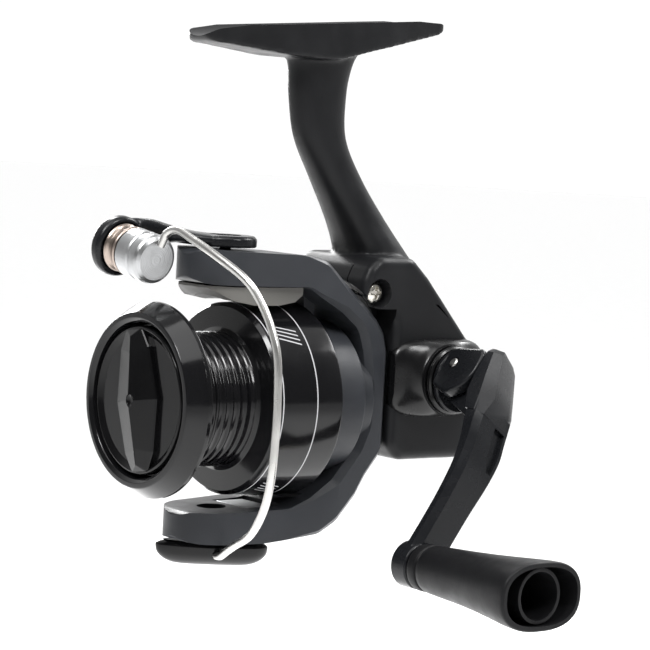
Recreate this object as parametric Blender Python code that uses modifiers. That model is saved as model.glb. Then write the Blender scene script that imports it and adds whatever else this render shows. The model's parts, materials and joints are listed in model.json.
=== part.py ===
"""Open-face spinning reel for Blender 4.5, in metres with +Z up.

The world origin is on the reel foot, where the rod's seat rests in the foot's saddle. Below it an
empty called reel_frame lies on the spool axis: +Y runs to the rear along that axis, and +X points to
the side of the crank. Sizes in this file are millimetres, and MM turns them into metres.
"""

import math

import bmesh
import bpy
from mathutils import Matrix, Vector

MM = 0.001
GAP = 0.3  # clearance between pieces that touch on the real reel

# Driving dimensions
AXIS_DROP = 74.2  # the spool axis below the foot's saddle
FOOT_TILT = math.radians(4.67)  # the foot's front end dips towards the spool axis
CRANK_Y = 26.2
CRANK_Z = 4.8
CRANK_ANGLE = math.radians(35.5)  # the crank arm at rest, forwards from straight down
CRANK_RADIUS = 41.5
FOLD_X = 22.6
FOLD_Z = 0.8
BAIL_Y = -21.0
WINDER_Y = 36.5
WINDER_Z = -1.5
WINDER_THROW = 4.5  # crank pin radius, half of the spool's stroke
SLIDER_Y = 40.5
SHAFT_R = 1.75
SHAFT_BORE = 2.1
PINION_R = 3.15
PINION_BORE = 3.5
BEARING_R = 7.0
GEAR_SHAFT_R = 2.65
DRIVE_ROD_R = 1.45
BODY_HALF = 12.4
BODY_FRONT = 14.2
PARTING_X = 6.0
SKIRT_R = 19.8
ARBOR_R = 13.4
SPOOL_SPACE_R = 20.5  # room that the rotor leaves round the spool's skirt
ARM_HALF = 12.0
ARM_TIP_R = 9.5
ROLLER_AXIS = Vector((0.985, 0.06, -0.16)).normalized()
LEVER_END = Vector((-11.5, -17.1, 29.3))  # inner face of the lever's disc, from the bail's pivot
DRIVE_TEETH = 36
PINION_TEETH = 7
SMALL_WINDER_TEETH = 13
WINDER_TEETH = 23

AXIS_TURN = {
    "X": (0, math.pi / 2, 0),
    "Y": (-math.pi / 2, 0, 0),
    "Z": (0, 0, 0),
}
PLATE_TURN = {
    "X": (math.pi / 2, 0, math.pi / 2),  # outline in Y and Z
    "Y": (math.pi / 2, 0, 0),  # outline in X and Z
    "Z": (0, 0, 0),  # outline in X and Y
}


def clear_scene():
    for old in list(bpy.data.objects):
        bpy.data.objects.remove(old)


def new_collection(name, helper):
    made = bpy.data.collections.new(name)
    bpy.context.scene.collection.children.link(made)
    made.hide_render = helper
    return made


clear_scene()
PARTS = new_collection("spinning_reel", False)
CUTTERS = new_collection("cutters", True)


def material(name, color, roughness, metallic=0.0):
    made = bpy.data.materials.new(name)
    made.use_nodes = True
    shader = made.node_tree.nodes["Principled BSDF"]
    shader.inputs["Base Color"].default_value = (*color, 1.0)
    shader.inputs["Roughness"].default_value = roughness
    shader.inputs["Metallic"].default_value = metallic
    made.diffuse_color = (*color, 1.0)
    return made


SATIN_BLACK = material("satin_black", (0.035, 0.036, 0.04), 0.42)
ROTOR_GREY = material("rotor_grey", (0.06, 0.062, 0.068), 0.45)
GLOSS_BLACK = material("gloss_black", (0.012, 0.012, 0.013), 0.12)
SOFT_BLACK = material("soft_black", (0.03, 0.03, 0.032), 0.7)
STEEL = material("steel", (0.62, 0.62, 0.6), 0.25, 1.0)
ALUMINIUM = material("aluminium", (0.78, 0.78, 0.78), 0.28, 1.0)
BRASS = material("brass", (0.72, 0.55, 0.28), 0.3, 1.0)
COPPER_TAN = material("copper_tan", (0.55, 0.42, 0.34), 0.35, 1.0)
ZINC = material("zinc", (0.5, 0.51, 0.52), 0.4, 1.0)
FELT = material("felt", (0.35, 0.33, 0.3), 0.95)
NYLON = material("nylon", (0.75, 0.74, 0.7), 0.5)


def frame(name, parent, location=(0, 0, 0), rotation=(0, 0, 0)):
    """An empty that the pieces round one axis are parented to."""
    empty = bpy.data.objects.new(name, None)
    PARTS.objects.link(empty)
    return place(empty, parent, location, rotation)


def place(obj, parent, location=(0, 0, 0), rotation=(0, 0, 0)):
    obj.parent = parent
    obj.location = Vector(location) * MM
    obj.rotation_euler = rotation
    return obj


def solid(name, mesh, parent, location=(0, 0, 0), rotation=(0, 0, 0)):
    made = bpy.data.objects.new(name, mesh)
    PARTS.objects.link(made)
    return place(made, parent, location, rotation)


def finish(obj, surface):
    """Gives a piece its material."""
    obj.data.materials.clear()
    obj.data.materials.append(surface)
    return obj


def combine(target, helper, operation):
    """Adds a Boolean with the helper, which leaves the parts and becomes a hidden wire object."""
    PARTS.objects.unlink(helper)
    CUTTERS.objects.link(helper)
    helper.hide_render = True
    helper.display_type = "WIRE"
    modifier = target.modifiers.new(helper.name, "BOOLEAN")
    modifier.operation = operation
    modifier.solver = "EXACT"
    modifier.object = helper
    return target


def carve(target, *helpers):
    for helper in helpers:
        combine(target, helper, "DIFFERENCE")
    return target


def weld(target, *helpers):
    for helper in helpers:
        combine(target, helper, "UNION")
    return target


def keep_inside(target, helper):
    return combine(target, helper, "INTERSECT")


def bevel(obj, width, segments=1, angle=35):
    modifier = obj.modifiers.new("bevel", "BEVEL")
    modifier.width = width * MM
    modifier.segments = segments
    modifier.limit_method = "ANGLE"
    modifier.angle_limit = math.radians(angle)
    return obj


def shade_round(mesh, angle=35):
    mesh.shade_smooth()
    mesh.set_sharp_from_angle(angle=math.radians(angle))


def turned(name, profile, parent, axis="Y", steps=28, at=(0, 0, 0)):
    """A profile of (radius, distance along the axis) turned about the axis.

    Its outer side runs from high to low. A profile that starts and ends on the axis stays open there.
    """
    on_axis = profile[0][0] == 0 and profile[-1][0] == 0
    mesh = bpy.data.meshes.new(name)
    points = [(radius * MM, 0, along * MM) for radius, along in profile]
    edges = [(i, i + 1) for i in range(len(points) - 1)]
    if not on_axis:
        edges.append((len(points) - 1, 0))
    mesh.from_pydata(points, edges, [])
    made = solid(name, mesh, parent, at, AXIS_TURN[axis])
    screw = made.modifiers.new("screw", "SCREW")
    screw.steps = steps
    screw.render_steps = steps
    screw.use_merge_vertices = True
    screw.merge_threshold = 1e-6
    screw.use_smooth_shade = True
    return made


def ring(name, inner, outer, span, parent, axis="Y", steps=20, at=(0, 0, 0)):
    low, high = span
    profile = [(inner, high), (outer, high), (outer, low), (inner, low)]
    return turned(name, profile, parent, axis, steps, at)


def rod(name, radius, span, parent, axis="Y", at=(0, 0, 0), sides=20, end_radius=None):
    """A cylinder, or a cone that ends at end_radius on its high side."""
    low, high = span
    shape = bmesh.new()
    bmesh.ops.create_cone(
        shape,
        cap_ends=True,
        segments=sides,
        radius1=radius * MM,
        radius2=(radius if end_radius is None else end_radius) * MM,
        depth=(high - low) * MM,
        matrix=Matrix.Translation((0, 0, (low + high) / 2 * MM)),
    )
    mesh = bpy.data.meshes.new(name)
    shape.to_mesh(mesh)
    shape.free()
    shade_round(mesh)
    return solid(name, mesh, parent, at, AXIS_TURN[axis])


def block(name, low, high, parent, rotation=(0, 0, 0)):
    """A box from its low corner to its high corner, turned about its own centre."""
    low, high = Vector(low), Vector(high)
    shape = bmesh.new()
    bmesh.ops.create_cube(shape, size=1, matrix=Matrix.Diagonal((*((high - low) * MM), 1)))
    mesh = bpy.data.meshes.new(name)
    shape.to_mesh(mesh)
    shape.free()
    return solid(name, mesh, parent, (low + high) / 2, rotation)


def meshed(curve_object):
    """Replaces a curve object with the closed mesh that it draws."""
    graph = bpy.context.evaluated_depsgraph_get()
    mesh = bpy.data.meshes.new_from_object(curve_object.evaluated_get(graph))
    shape = bmesh.new()
    shape.from_mesh(mesh)
    bmesh.ops.remove_doubles(shape, verts=shape.verts, dist=1e-6)
    bmesh.ops.recalc_face_normals(shape, faces=shape.faces)
    shape.to_mesh(mesh)
    shape.free()
    name, parent = curve_object.name, curve_object.parent
    location, rotation = curve_object.location / MM, tuple(curve_object.rotation_euler)
    bpy.data.objects.remove(curve_object)
    mesh.name = name
    return solid(name, mesh, parent, location, rotation)


def plate(name, outline, span, parent, axis="X", at=(0, 0, 0)):
    """A flat outline with thickness: span is where it starts and ends along the axis."""
    low, high = span
    curve = bpy.data.curves.new(name, "CURVE")
    curve.dimensions = "2D"
    curve.fill_mode = "BOTH"
    curve.extrude = (high - low) / 2 * MM
    spline = curve.splines.new("POLY")
    spline.points.add(len(outline) - 1)
    spline.use_cyclic_u = True
    for point, (u, v) in zip(spline.points, outline):
        point.co = (u * MM, v * MM, 0, 1)
    middle = Vector(at)
    middle["XYZ".index(axis)] += (low + high) / 2
    return meshed(solid(name, curve, parent, middle, PLATE_TURN[axis]))


def smooth_path(points, per_span=3):
    """Points along a smooth curve that passes through the given ones (Catmull-Rom)."""
    knots = [Vector(p) for p in points]
    knots = [2 * knots[0] - knots[1], *knots, 2 * knots[-1] - knots[-2]]
    path = []
    for i in range(1, len(knots) - 2):
        a, b, c, d = knots[i - 1 : i + 3]
        for step in range(per_span):
            t = step / per_span
            path.append(
                0.5 * (2 * b + (c - a) * t + (2 * a - 5 * b + 4 * c - d) * t**2)
                + 0.5 * (3 * b - a - 3 * c + d) * t**3
            )
    path.append(knots[-2])
    return path


def wire(name, path, radius, parent, resolution=2):
    """A round wire along a path."""
    curve = bpy.data.curves.new(name, "CURVE")
    curve.dimensions = "3D"
    curve.bevel_depth = radius * MM
    curve.bevel_resolution = resolution
    curve.use_fill_caps = True
    spline = curve.splines.new("POLY")
    spline.points.add(len(path) - 1)
    for point, place_mm in zip(spline.points, path):
        point.co = (*(Vector(place_mm) * MM), 1)
    return solid(name, curve, parent)


def loft(name, rings, parent, at=(0, 0, 0), rotation=(0, 0, 0), smooth=True):
    """A closed skin over rings that have the same number of points."""
    shape = bmesh.new()
    rows = [[shape.verts.new(Vector(point) * MM) for point in loop] for loop in rings]
    count = len(rows[0])
    for near, far in zip(rows, rows[1:]):
        for i in range(count):
            j = (i + 1) % count
            shape.faces.new((near[i], near[j], far[j], far[i]))
    shape.faces.new(rows[0])
    shape.faces.new(rows[-1])
    bmesh.ops.recalc_face_normals(shape, faces=shape.faces)
    mesh = bpy.data.meshes.new(name)
    shape.to_mesh(mesh)
    shape.free()
    if smooth:
        shade_round(mesh)
    return solid(name, mesh, parent, at, rotation)


def oval(half_u, half_v, power=2.0, count=24):
    """Points of a superellipse; a higher power makes it squarer."""
    points = []
    for i in range(count):
        turn = 2 * math.pi * (i + 0.5) / count
        c, s = math.cos(turn), math.sin(turn)
        u = half_u * math.copysign(abs(c) ** (2 / power), c)
        v = half_v * math.copysign(abs(s) ** (2 / power), s)
        points.append((u, v))
    return points


def arc(centre, radius, start, end, steps):
    """Points on an arc, with angles in degrees."""
    cu, cv = centre
    turns = [math.radians(start + (end - start) * i / steps) for i in range(steps + 1)]
    return [(cu + radius * math.cos(t), cv + radius * math.sin(t)) for t in turns]


def gear_outline(teeth, root, tip):
    """A spur gear's outline: four points a tooth."""
    pitch = 2 * math.pi / teeth
    points = []
    for tooth in range(teeth):
        for share, radius in ((-0.32, root), (-0.15, tip), (0.15, tip), (0.32, root)):
            turn = pitch * (tooth + share)
            points.append((radius * math.cos(turn), radius * math.sin(turn)))
    return points


def helix(radius, turns, length, count=8):
    """Points of a coil along +Y from 0 to length."""
    total = round(turns * count)
    path = []
    for i in range(total + 1):
        turn = 2 * math.pi * i / count
        path.append((radius * math.cos(turn), length * i / total, radius * math.sin(turn)))
    return path


def screw(name, surface, parent, head_at, direction, head=(1.6, 1.0), shank=(0.8, 4.0)):
    """A screw whose head starts at head_at; the shank runs on along direction, slotted on top."""
    head_r, head_h = head
    shank_r, shank_l = shank
    profile = [
        (0, head_h),
        (head_r * 0.75, head_h),
        (head_r, head_h * 0.6),
        (head_r, 0),
        (shank_r, 0),
        (shank_r, -shank_l),
        (0, -shank_l),
    ]
    turn = Vector((0, 0, -1)).rotation_difference(Vector(direction)).to_euler()
    made = turned(name, profile, parent, "Z", 12, head_at)
    made.rotation_euler = turn
    slot_depth = head_h * 0.45
    half = head_r * 0.62
    low = (-0.3, -half, head_h - slot_depth)
    carve(made, block(f"{name}_slot", low, (0.3, half, head_h + 1), made))
    return finish(made, surface)


# Frames: one empty on each joint axis

REEL = frame("reel_frame", None, (0, 0, -AXIS_DROP))
FOOT = frame("foot_frame", None, (0, 0, 0), (FOOT_TILT, 0, 0))
SHAFT = frame("shaft_frame", REEL)
ROTOR = frame("rotor_frame", REEL)
BAIL = frame("bail_frame", ROTOR, (0, BAIL_Y, 0))
ROLLER = frame(
    "roller_frame",
    BAIL,
    LEVER_END,
    tuple(Vector((0, 0, 1)).rotation_difference(ROLLER_AXIS).to_euler()),
)
CRANK = frame("crank_frame", REEL, (0, CRANK_Y, CRANK_Z), (-CRANK_ANGLE, 0, 0))
FOLD = frame("fold_frame", CRANK, (FOLD_X, 0, FOLD_Z))
KNOB = frame("knob_frame", CRANK, (0, 0, -CRANK_RADIUS), (CRANK_ANGLE, 0, 0))
WINDER = frame("winder_frame", REEL, (0, WINDER_Y, WINDER_Z))


# Housing

GEARBOX = [
    (BODY_FRONT, -9.0),
    (17.2, -12.3),
    (38.0, -12.3),
    (43.5, -9.5),
    (46.8, -4.0),
    (46.9, 2.0),
    (43.6, 6.6),
    (34.5, 12.9),
    (29.5, 18.4),
    (23.0, 25.5),
    (18.5, 29.5),
    (9.4, 29.5),
    (7.0, 27.4),
    (5.8, 24.8),
    (5.8, 21.6),
    (7.6, 19.0),
    (10.4, 17.6),
    (BODY_FRONT, 17.0),
]
ROTOR_SWEEP = [(0, 13.9), (16.4, 13.9), (19.0, 12.9), (21.2, 10.9), (23.5, 7.8), (27.3, 2.6)]
ROTOR_SWEEP += [(31.0, -3.0), (31.0, -40.0), (0, -40.0)]
GEAR_ROOM = [
    (15.7, -8.4),
    (17.9, -10.8),
    (37.5, -10.8),
    (42.6, -8.5),
    (45.3, -3.8),
    (45.3, 1.5),
    (42.6, 5.3),
    (33.6, 11.6),
    (28.4, 17.4),
    (25.5, 20.0),
    (15.7, 20.0),
]
COVER_AREA = [
    (5.0, -20.0),
    (60.0, -20.0),
    (60.0, 4.6),
    (44.5, 4.6),
    (35.0, 11.2),
    (28.5, 17.2),
    (22.4, 21.6),
    (15.7, 24.6),
    (9.0, 27.2),
    (5.0, 28.0),
]
STEM = (  # height above the spool axis, y, half width in X, half depth in Y
    (72.8, 0.8, 5.8, 11.5),
    (70.8, 0.6, 5.2, 8.6),
    (67.5, 0.4, 4.7, 7.2),
    (61.5, 0.2, 4.4, 6.4),
    (53.0, 1.4, 4.3, 5.7),
    (44.7, 6.2, 4.9, 5.5),
    (36.7, 11.8, 6.2, 5.9),
    (30.6, 15.9, 8.0, 6.6),
    (24.5, 19.3, 9.6, 8.2),
    (19.0, 21.0, 10.6, 6.6),
)
COVER_SCREWS = (  # name, y, z, head radius, left end of the post that it threads into
    ("cover_screw_top", 9.6, 22.2, 2.1, -11.4),
    ("cover_screw_rear", 42.0, -6.8, 1.7, 3.4),
)
COVER_SEAT_X = 9.6  # where the cover screws' heads rest
CRANK_BOSS = (  # x, half length, half height, squareness
    (6.0, 12.6, 8.6, 4.0),
    (12.6, 12.2, 8.2, 4.0),
    (14.2, 9.2, 7.7, 2.8),
    (16.8, 7.2, 7.2, 2.0),
)


def gearbox(name):
    return bevel(plate(name, GEARBOX, (-BODY_HALF, BODY_HALF), REEL), 2.4, 2)


def clear_of_rotor(target):
    return carve(target, turned(f"{target.name}_sweep", ROTOR_SWEEP, REEL, steps=40))


def stem(name):
    rings = []
    for z, y, half_x, half_y in STEM:
        rings.append([(u, y + v, z) for u, v in oval(half_x, half_y, 2.4, 24)])
    return loft(name, rings, REEL)


def foot_slab():
    """The foot: its plan and its side view cut from each other, with the rod's saddle on top."""
    tip, waist = 5.0, 6.8
    plan = [(-tip, -29), (-waist, -13), (-waist, 13), (-tip, 29), (-3.2, 30.4), (3.2, 30.4)]
    plan += [(tip, 29), (waist, 13), (waist, -13), (tip, -29), (3.2, -30.4), (-3.2, -30.4)]
    side = [(-30.4, -1.0), (-26, -1.7), (-11, -4.4), (0, -5.4), (9, -3.8), (30.4, -0.5)]
    side += [(30.4, 2.2), (12, 1.7), (-12, 1.7), (-30.4, 2.2)]
    slab = plate("foot_slab", side, (-8, 8), FOOT)
    keep_inside(slab, plate("foot_plan", plan, (-9, 9), FOOT, "Z"))
    return slab


def saddle():
    """The rod seat's round, with a flat facet at the bottom of it."""
    radius, sides = 9.5, 36
    cutter = rod(
        "foot_saddle", radius / math.cos(math.pi / sides), (-40, 40), FOOT, "Y", (0, 0, radius), sides
    )
    cutter.rotation_euler.rotate_axis("Z", math.pi / sides)
    return cutter


def reel_body():
    crank_at = (0, CRANK_Y, CRANK_Z)
    body = gearbox("reel_body")
    left_boss = rod("body_left_boss", 8.6, (-17.0, -9), REEL, "X", crank_at, 32, 10.5)
    weld(body, stem("body_stem"), foot_slab(), left_boss)
    carve(
        body,
        saddle(),
        plate("body_cover_area", COVER_AREA, (PARTING_X, 40), REEL),
        plate("body_gear_room", GEAR_ROOM, (-10.9, 20), REEL),
    )
    weld(body, rod("body_winder_post", 1.5, (-11.6, -8.0), WINDER, "X", sides=20))
    for name, y, z, _, start in COVER_SCREWS:
        weld(body, rod(f"{name}_post", 2.0, (start, PARTING_X), REEL, "X", (0, y, z), 12))
        carve(body, rod(f"{name}_thread", 1.1, (start + 0.4, 9), REEL, "X", (0, y, z), 10))
    clear_of_rotor(body)
    neck = rod("body_neck", 9.2, (3.4, 16), REEL, sides=32)
    weld(body, carve(neck, plate("neck_cover_area", COVER_AREA, (PARTING_X, 40), REEL)))
    carve(
        body,
        rod("body_bearing_seat", BEARING_R + GAP, (2, 13.6), REEL, sides=32),
        rod("body_pinion_hole", PINION_BORE + 0.1, (10, 18), REEL),
        rod("body_crank_seat", 5.35, (-16.2, -5), REEL, "X", crank_at),
        rod("body_crank_hole", 1.9, (-20, -5), REEL, "X", crank_at),
    )
    for i, side in enumerate((-1, 1)):
        carve(body, rod(f"body_retainer_hole_{i}", 0.9, (2, 7), REEL, "Y", (side * 8.25, 0, 0), 10))
    return finish(body, SATIN_BLACK)


def crank_boss():
    """The bulge that the crank comes out of: squarish at the cover, round at the collar."""
    rings = []
    for x, half_y, half_z, squareness in CRANK_BOSS:
        loop = oval(half_y, half_z, squareness, 40)
        rings.append([(x, CRANK_Y + y, CRANK_Z + z) for y, z in loop])
    return loft("crank_boss", rings, REEL)


def side_cover():
    cover = gearbox("side_cover")
    weld(cover, crank_boss())
    keep_inside(cover, plate("cover_area", COVER_AREA, (PARTING_X + GAP, 40), REEL))
    carve(
        cover,
        block("cover_front_cut", (0, 0, -20), (30, BODY_FRONT - 0.01, 21.6), REEL),
        plate("cover_gear_room", GEAR_ROOM, (0, 10.9), REEL),
        rod("cover_bearing_seat", 5.35, (9, 15.5), REEL, "X", (0, CRANK_Y, CRANK_Z)),
        rod("cover_shaft_hole", 3.1, (9, 25), REEL, "X", (0, CRANK_Y, CRANK_Z)),
    )
    for name, y, z, head, _ in COVER_SCREWS:
        at = (0, y, z)
        weld(cover, rod(f"{name}_tube", 2.4, (PARTING_X + GAP, 11.4), REEL, "X", at, 12))
        carve(
            cover,
            rod(f"{name}_seat", head + 0.6, (COVER_SEAT_X, 16), REEL, "X", at, 20),
            rod(f"{name}_hole", 1.1, (0, 12), REEL, "X", at, 10),
        )
    return finish(clear_of_rotor(cover), SATIN_BLACK)


def housing():
    reel_body()
    side_cover()
    for name, y, z, head, start in COVER_SCREWS:
        reach = min(7.5, COVER_SEAT_X - start - 1.0)
        screw(name, STEEL, REEL, (COVER_SEAT_X + GAP, y, z), (-1, 0, 0), (head, 1.2), (0.75, reach))
    at = (0, CRANK_Y, CRANK_Z)
    finish(ring("boss_collar", 1.9, 7.0, (17.1, 18.3), REEL, "X", 28, at), ALUMINIUM)
    for name, start in (("crank_bearing_right", 12.2), ("crank_bearing_left", -15.9)):
        finish(ring(name, 3.0, 5.0, (start, start + 3), REEL, "X", 24, at), STEEL)
    finish(ring("pinion_bearing", PINION_BORE, BEARING_R, (9.4, 13.2), REEL), STEEL)
    finish(ring("one_way_clutch", PINION_BORE, BEARING_R, (4.0, 9.0), REEL), ZINC)
    retainer = ring("clutch_retainer", 4.2, 9.1, (2.3, 3.1), REEL)
    for i, side in enumerate((-1, 1)):
        carve(retainer, rod(f"retainer_hole_{i}", 0.9, (1, 5), REEL, "Y", (side * 8.25, 0, 0), 10))
        place_mm = (side * 8.25, 2.0, 0)
        screw(f"retainer_screw_{i + 1}", STEEL, REEL, place_mm, (0, 1, 0), (1.2, 0.8), (0.55, 3.6))
    finish(retainer, STEEL)
    finish(rod("slider_guide_rod", 1.1, (16.0, 43.2), REEL, "Y", (0.6, 0, -5.7), 16), STEEL)


# Gears

def crown_gear(name, parent):
    """A ring whose face rises into radial teeth towards -X."""
    inner, outer = 6.8, 9.5
    root, tip, back = 5.0, 4.2, 7.2
    rings = []
    for tooth in range(DRIVE_TEETH):
        for share, face in ((0.0, root), (0.5, tip)):
            turn = 2 * math.pi * (tooth + share) / DRIVE_TEETH
            y, z = math.cos(turn), math.sin(turn)
            loop = [(face, inner), (face, outer), (back, outer), (back, inner)]
            rings.append([(x, radius * y, radius * z) for x, radius in loop])
    shape = bmesh.new()
    rows = [[shape.verts.new(Vector(point) * MM) for point in loop] for loop in rings]
    for near, far in zip(rows, rows[1:] + rows[:1]):
        for i in range(4):
            j = (i + 1) % 4
            shape.faces.new((near[i], near[j], far[j], far[i]))
    bmesh.ops.recalc_face_normals(shape, faces=shape.faces)
    mesh = bpy.data.meshes.new(name)
    shape.to_mesh(mesh)
    shape.free()
    return solid(name, mesh, parent)


def drive_train():
    gear = crown_gear("drive_gear", CRANK)
    shaft_profile = [
        (DRIVE_ROD_R + 0.35, 15.0),
        (GEAR_SHAFT_R, 15.0),
        (GEAR_SHAFT_R, 11.8),
        (4.3, 11.8),
        (4.3, 7.0),
        (7.2, 7.0),
        (7.2, 5.4),
        (4.0, 5.4),
        (GEAR_SHAFT_R, 4.0),
        (GEAR_SHAFT_R, -15.8),
        (DRIVE_ROD_R + 0.35, -15.8),
    ]
    weld(gear, turned("drive_gear_shaft", shaft_profile, CRANK, "X", 20))
    finish(gear, ZINC)

    small = plate("winder_pinion", gear_outline(SMALL_WINDER_TEETH, 3.7, 4.3), (-10.4, -8.4), CRANK)
    carve(small, rod("winder_pinion_bore", GEAR_SHAFT_R + GAP, (-12, -7), CRANK, "X"))
    finish(small, ZINC)

    wheel = plate("winder_gear", gear_outline(WINDER_TEETH, 6.8, 7.4), (-10.4, -8.6), WINDER)
    offset = SLIDER_Y - WINDER_Y
    drop = math.sqrt(WINDER_THROW**2 - offset**2)
    weld(wheel, rod("winder_crank_pin", 1.2, (-9.5, -5.8), WINDER, "X", (0, offset, -drop), 14))
    carve(wheel, rod("winder_gear_bore", 1.5 + GAP, (-12, -7), WINDER, "X", sides=20))
    finish(wheel, NYLON)


def pinion():
    """The hollow pinion: its helical teeth run behind the bearing, its nose carries the rotor."""
    outline = gear_outline(PINION_TEETH, 3.0, 3.85)
    rings = []
    for step in range(5):
        turn = Matrix.Rotation(math.radians(9 * step), 2)
        y = 16.0 + 1.6 * step
        rings.append([(*(turn @ Vector(p)), y) for p in outline])
    rings = [[(u, y, v) for u, v, y in loop] for loop in rings]
    made = loft("pinion", rings, ROTOR, smooth=False)
    weld(made, rod("pinion_tube", PINION_R, (-19.5, 16.6), ROTOR))
    carve(made, rod("pinion_bore", SHAFT_BORE, (-22, 26), ROTOR))
    finish(made, BRASS)


# Main shaft, spool and drag

def main_shaft():
    shaft = rod("main_shaft", SHAFT_R, (-39.8, 43.4), SHAFT, sides=24)
    carve(shaft, rod("shaft_pin_hole", 0.85, (-5, 5), SHAFT, "X", (0, -24.6, 0), 12))
    finish(shaft, STEEL)
    finish(rod("shaft_pin", 0.55, (-4.2, 4.2), SHAFT, "X", (0, -24.6, 0), 12), STEEL)

    half = 2.3
    slider = block("crosswind_slider", (-5.4, SLIDER_Y - half, -8.2), (3.0, SLIDER_Y + half, 5.4), SHAFT)
    bevel(slider, 0.5)
    carve(
        slider,
        rod("slider_shaft_hole", SHAFT_R + GAP, (30, 50), SHAFT, sides=24),
        rod("slider_guide_hole", 1.4, (30, 50), SHAFT, "Y", (0.6, 0, -5.7), 16),
        block("slider_slot", (-6, SLIDER_Y - 1.5, -7.4), (-2.7, SLIDER_Y + 1.5, 4.4), SHAFT),
        rod("slider_screw_seat", 1.9, (3.9, 8), SHAFT, "Z", (0.4, SLIDER_Y, 0), 16),
        rod("slider_screw_hole", 1.0, (1, 8), SHAFT, "Z", (0.4, SLIDER_Y, 0), 12),
    )
    finish(slider, NYLON)
    screw("slider_screw", STEEL, SHAFT, (0.4, SLIDER_Y, 4.2), (0, 0, -1), (1.5, 0.9), (0.7, 1.9))


def spool_profile():
    """The spool's section: skirt, rear flange, grooved arbor, lip, drag pocket and hollow rear."""
    outer = [(18.5, -4.5), (SKIRT_R, -4.5), (19.7, -11.0), (19.3, -20.0), (18.4, -20.4)]
    outer += [(ARBOR_R + 0.3, -21.0)]
    grooves = 3
    for i in range(grooves):
        y = -23.0 - 3.8 * i
        outer += [(ARBOR_R, y), (ARBOR_R - 0.6, y - 0.8), (ARBOR_R, y - 1.6)]
    outer += [(ARBOR_R + 0.3, -34.6), (18.6, -35.9), (19.4, -36.6), (19.4, -38.0)]
    outer += [(18.6, -39.8), (17.4, -40.9), (16.4, -41.0), (15.4, -40.2), (15.1, -38.4)]
    pocket = [(15.1, -37.3), (11.2, -37.3), (11.0, -30.9), (SHAFT_BORE, -30.9), (SHAFT_BORE, -28.0)]
    rear = [(12.0, -28.0), (12.0, -19.2), (18.1, -18.8)]
    return outer + pocket + rear


def spool_and_drag():
    finish(turned("spool", spool_profile(), SHAFT, steps=28), GLOSS_BLACK)
    click = plate("click_gear", gear_outline(14, 4.2, 4.8), (-27.4, -25.9), SHAFT, "Y")
    carve(click, rod("click_gear_bore", SHAFT_R + GAP, (-30, -20), SHAFT))
    finish(click, NYLON)
    pawl = [(5.6, 0.6), (7.0, 2.2), (9.6, 1.6), (10.2, 0), (9.6, -1.6), (7.0, -1.0), (5.6, -0.2)]
    finish(bevel(plate("click_pawl", pawl, (-27.6, -26.2), SHAFT, "Y"), 0.2), NYLON)

    layers = (
        ("drag_washer_felt_1", FELT, -32.0, -31.2),
        ("drag_washer_steel_1", STEEL, -33.0, -32.3),
        ("drag_washer_felt_2", FELT, -34.1, -33.3),
        ("drag_washer_steel_2", STEEL, -35.1, -34.4),
    )
    for name, surface, low, high in layers:
        finish(ring(name, SHAFT_BORE, 10.6, (low, high), SHAFT), surface)
    mouth = 20
    clip = arc((0, 0), 10.7, mouth - 90, 270 - mouth, 16) + arc((0, 0), 9.6, 270 - mouth, mouth - 90, 16)
    finish(plate("drag_retaining_clip", clip, (-36.1, -35.5), SHAFT, "Y"), STEEL)


KNOB_BAR_TURN = math.radians(9)
KNOB_BAR = [  # the grip bar's outline in X and Z before it is turned
    (2.6, -14.0),
    (4.8, -10.3),
    (6.9, 0.0),
    (4.8, 10.3),
    (2.6, 14.0),
    (-2.6, 14.0),
    (-4.8, 10.3),
    (-6.9, 0.0),
    (-4.8, -10.3),
    (-2.6, -14.0),
]
KNOB_BAR_LEVELS = ((-39.0, 1.0, 0.0), (-40.6, 0.97, 0.0), (-42.5, 0.05, 0.09))  # y, share, fall


def drag_knob():
    profile = [
        (0, -35.6),
        (6.2, -35.6),
        (6.2, -37.6),
        (14.7, -37.9),
        (14.7, -39.7),
        (14.2, -40.4),
        (13.4, -40.3),
        (12.8, -39.5),
        (0, -39.7),
    ]
    knob = turned("drag_knob", profile, SHAFT, steps=28)
    turn = Matrix.Rotation(KNOB_BAR_TURN, 2)
    levels = []
    for y, share, ridge in KNOB_BAR_LEVELS:
        points = [turn @ Vector((x * share, z * (0.9 + 0.1 * share))) for x, z in KNOB_BAR]
        levels.append([(x, y + ridge * abs(z), z) for x, z in points])
    weld(knob, loft("drag_knob_bar", levels, SHAFT, smooth=False))
    carve(
        knob,
        rod("drag_knob_nut_room", 3.9, (-40.7, -37.2), SHAFT, sides=24),
        rod("drag_knob_spring_room", 4.4, (-37.4, -30), SHAFT, sides=24),
    )
    finish(knob, GLOSS_BLACK)
    hexagon = [(3.5 * math.cos(k * math.pi / 3), 3.5 * math.sin(k * math.pi / 3)) for k in range(6)]
    nut = plate("drag_nut", hexagon, (-39.4, -37.6), SHAFT, "Y")
    carve(nut, rod("drag_nut_bore", SHAFT_R + GAP, (-42, -34), SHAFT))
    finish(nut, BRASS)
    coil = [(x, y - 37.0, z) for x, y, z in helix(3.1, 2.5, 1.4, 8)]
    finish(wire("drag_spring", coil, 0.2, SHAFT, 1), STEEL)


# Rotor and bail

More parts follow.
